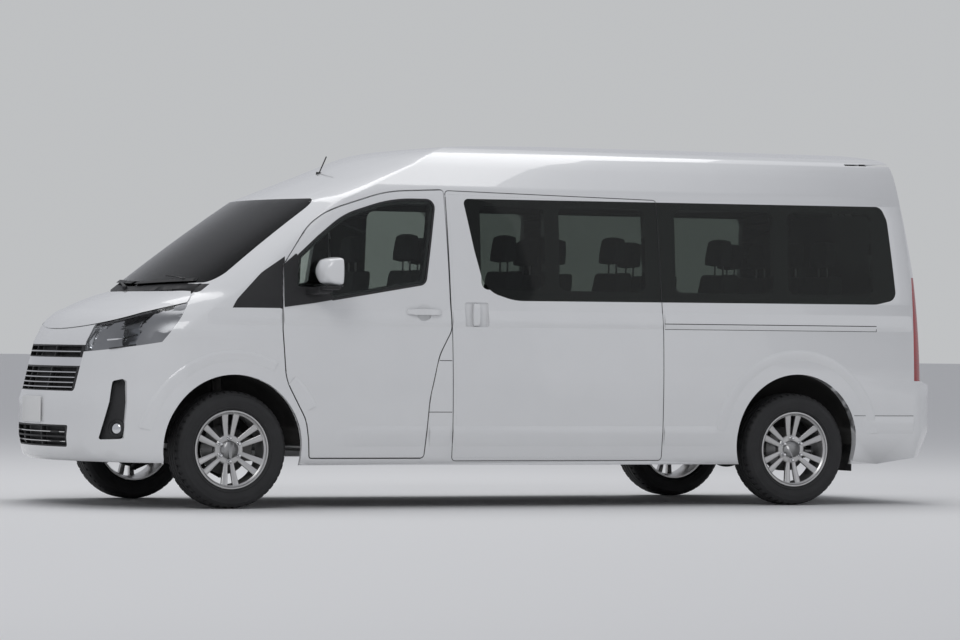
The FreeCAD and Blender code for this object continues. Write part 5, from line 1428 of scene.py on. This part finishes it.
# %% [markdown]
# The seats are padded: foam under woven cloth. Each pad starts as a box that is divided and shaped,
# with its sides drawn in and its crown raised. Then it is remeshed evenly, and a cloth simulation
# with air pressure inside swells it as stuffing would. The pads are made once, about the place of
# the head, and copied to every seat.

# %% Seat cloth
seat_cloth = finish("seat_cloth", (0.055, 0.056, 0.060), 0.9, grain=900, depth=0.5, spread=0.22, patches=14)
PAD_VOXEL = 0.009
PAD_FRAMES = 20


def swollen(piece, pressure, cap):
    """Swell a closed pad like stuffed cloth; no point moves further than cap."""
    apply_modifier(piece, "REMESH", mode="VOXEL", voxel_size=PAD_VOXEL, use_smooth_shade=True)
    start = [point.co.copy() for point in piece.data.vertices]
    only(piece)
    cloth = piece.modifiers.new("stuffing", "CLOTH")
    cloth.settings.use_pressure = True
    cloth.settings.uniform_pressure_force = pressure
    cloth.settings.effector_weights.gravity = 0
    cloth.point_cache.frame_start = 1
    cloth.point_cache.frame_end = PAD_FRAMES
    for step in range(1, PAD_FRAMES + 1):
        bpy.context.scene.frame_set(step)
    bpy.ops.object.modifier_apply(modifier=cloth.name)
    bpy.context.scene.frame_set(1)
    for point, old in zip(piece.data.vertices, start):
        move = point.co - old
        if move.length > cap:
            point.co = old + move * (cap / move.length)
    return piece


def base_shape(a, b, c):
    """The seat's cushion: a rolled front edge, raised sides and a hollow in the middle."""
    x = -0.312 + 0.235 * a
    y = 0.190 * b * (1 - 0.05 * a * a)
    z = 0.912 + 0.040 * c
    if c > 0:
        z += 0.014 * abs(b) ** 3 - 0.010 * (1 - b * b) - 0.022 * max(0, -a) ** 4
    return x, y, z


def back_shape(a, b, c):
    """The backrest: leaned back, narrower at its top, with wings at its sides."""
    z = 1.205 + 0.270 * c
    lean = -0.065 + 0.085 * (c + 1) / 2
    x = lean + 0.045 * a - (0.018 * abs(b) ** 3 if a < 0 else 0)
    y = 0.195 * b * (1 - 0.16 * max(0, c) ** 3)
    return x, y, z


def head_shape(a, b, c):
    """The headrest: rounded, wider at its foot than at its top."""
    z = 1.608 + 0.082 * c - 0.010 * b * b * max(0, c)
    x = 0.002 + 0.038 * a + 0.008 * c
    y = (0.118 - 0.022 * max(0, c)) * b
    return x, y, z


def pad(rule):
    """A pad before it is swollen: a divided box moved by a rule, with its edges rounded."""
    return rounded(divided(8, rule), 0.016, 3, 50)


pads = [swollen(pad(base_shape), 3.0, 0.012),
        swollen(pad(back_shape), 3.0, 0.012),
        swollen(pad(head_shape), 3.0, 0.008)]
print("pads", [len(piece.data.polygons) for piece in pads])

# %% [markdown]
# Two steel posts carry the headrest. Then the whole seat is copied to its places, row by row. Each
# row is one padded piece, so that none grows too heavy.

# %% Seats in their rows
SEAT_ROWS = [(1.354, (-0.430, 0.430)), (1.930, (-0.640, 0.215, 0.640)), (2.690, (-0.640, 0.215, 0.640)),
             (3.450, (-0.640, 0.215, 0.640)), (4.210, (-0.640, -0.215, 0.215, 0.640))]
posts = []
for across in (-0.055, 0.055):
    clear_selection()
    bpy.ops.mesh.primitive_cylinder_add(vertices=16, radius=0.006, depth=0.090,
                                        location=(0.005, across, 1.500))
    posts.append(rounded(settle(bpy.context.object), 0.001, 2, 50))
posts_model = joined(posts)
seat_model = smooth(joined(pads), 60)
for row, (head, places) in enumerate(SEAT_ROWS):
    softs = []
    steels = []
    for across in places:
        for model, gathered in ((seat_model, softs), (posts_model, steels)):
            one = copy_of(model)
            one.location = (at(head), across, 0)
            gathered.append(settle(one))
    stands_for = ("front_seats",) if row == 0 else ("rear_seats",)
    cushions = finish_piece(joined(softs), f"seats_row_{row}", seat_cloth, "root", stands_for)
    finish_piece(joined(steels), f"headrest_posts_{row}", turned_steel, "root")
for model in (seat_model, posts_model):
    bpy.data.objects.remove(model)
print("seats", sum(len(places) for head, places in SEAT_ROWS))

# %% [markdown]
# The steering wheel is a turned ring on three spokes with a padded hub. It is made flat about its
# own axis and then tilted into line with the column.

# %% Steering wheel
WHEEL_PLACE = Vector((at(0.620), 0.430, 1.215))
COLUMN_TILT = math.radians(38)
COLUMN_AXIS = Vector((-math.cos(COLUMN_TILT), 0, -math.sin(COLUMN_TILT)))
ring_outline = [(0.180 + 0.015 * math.cos(math.radians(angle)), 0.014 * math.sin(math.radians(angle)))
                for angle in range(0, 360, 24)]
wheel_parts = [smooth(turned(ring_outline, 72), 60)]
hub_outline = [(0.0001, 0.006), (0.050, 0.004), (0.058, -0.006), (0.056, -0.040), (0.040, -0.058),
               (0.0001, -0.058)]
wheel_parts.append(smooth(turned(hub_outline, 40), 40))
for angle in (0, 180, 270):
    spoke = block((0.045, -0.016, -0.018), (0.176, 0.016, -0.006))
    rounded(spoke, 0.005, 3, 50)
    spoke.rotation_euler.z = math.radians(angle)
    wheel_parts.append(settle(spoke))
wheel = aimed(joined(wheel_parts), WHEEL_PLACE, -COLUMN_AXIS)
finish_piece(wheel, "steering_wheel_detail", dash_grain, "steering_wheel", ("steering_wheel",))
print("steering wheel")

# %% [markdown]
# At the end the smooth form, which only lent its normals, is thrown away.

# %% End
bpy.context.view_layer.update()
bpy.data.objects.remove(form)
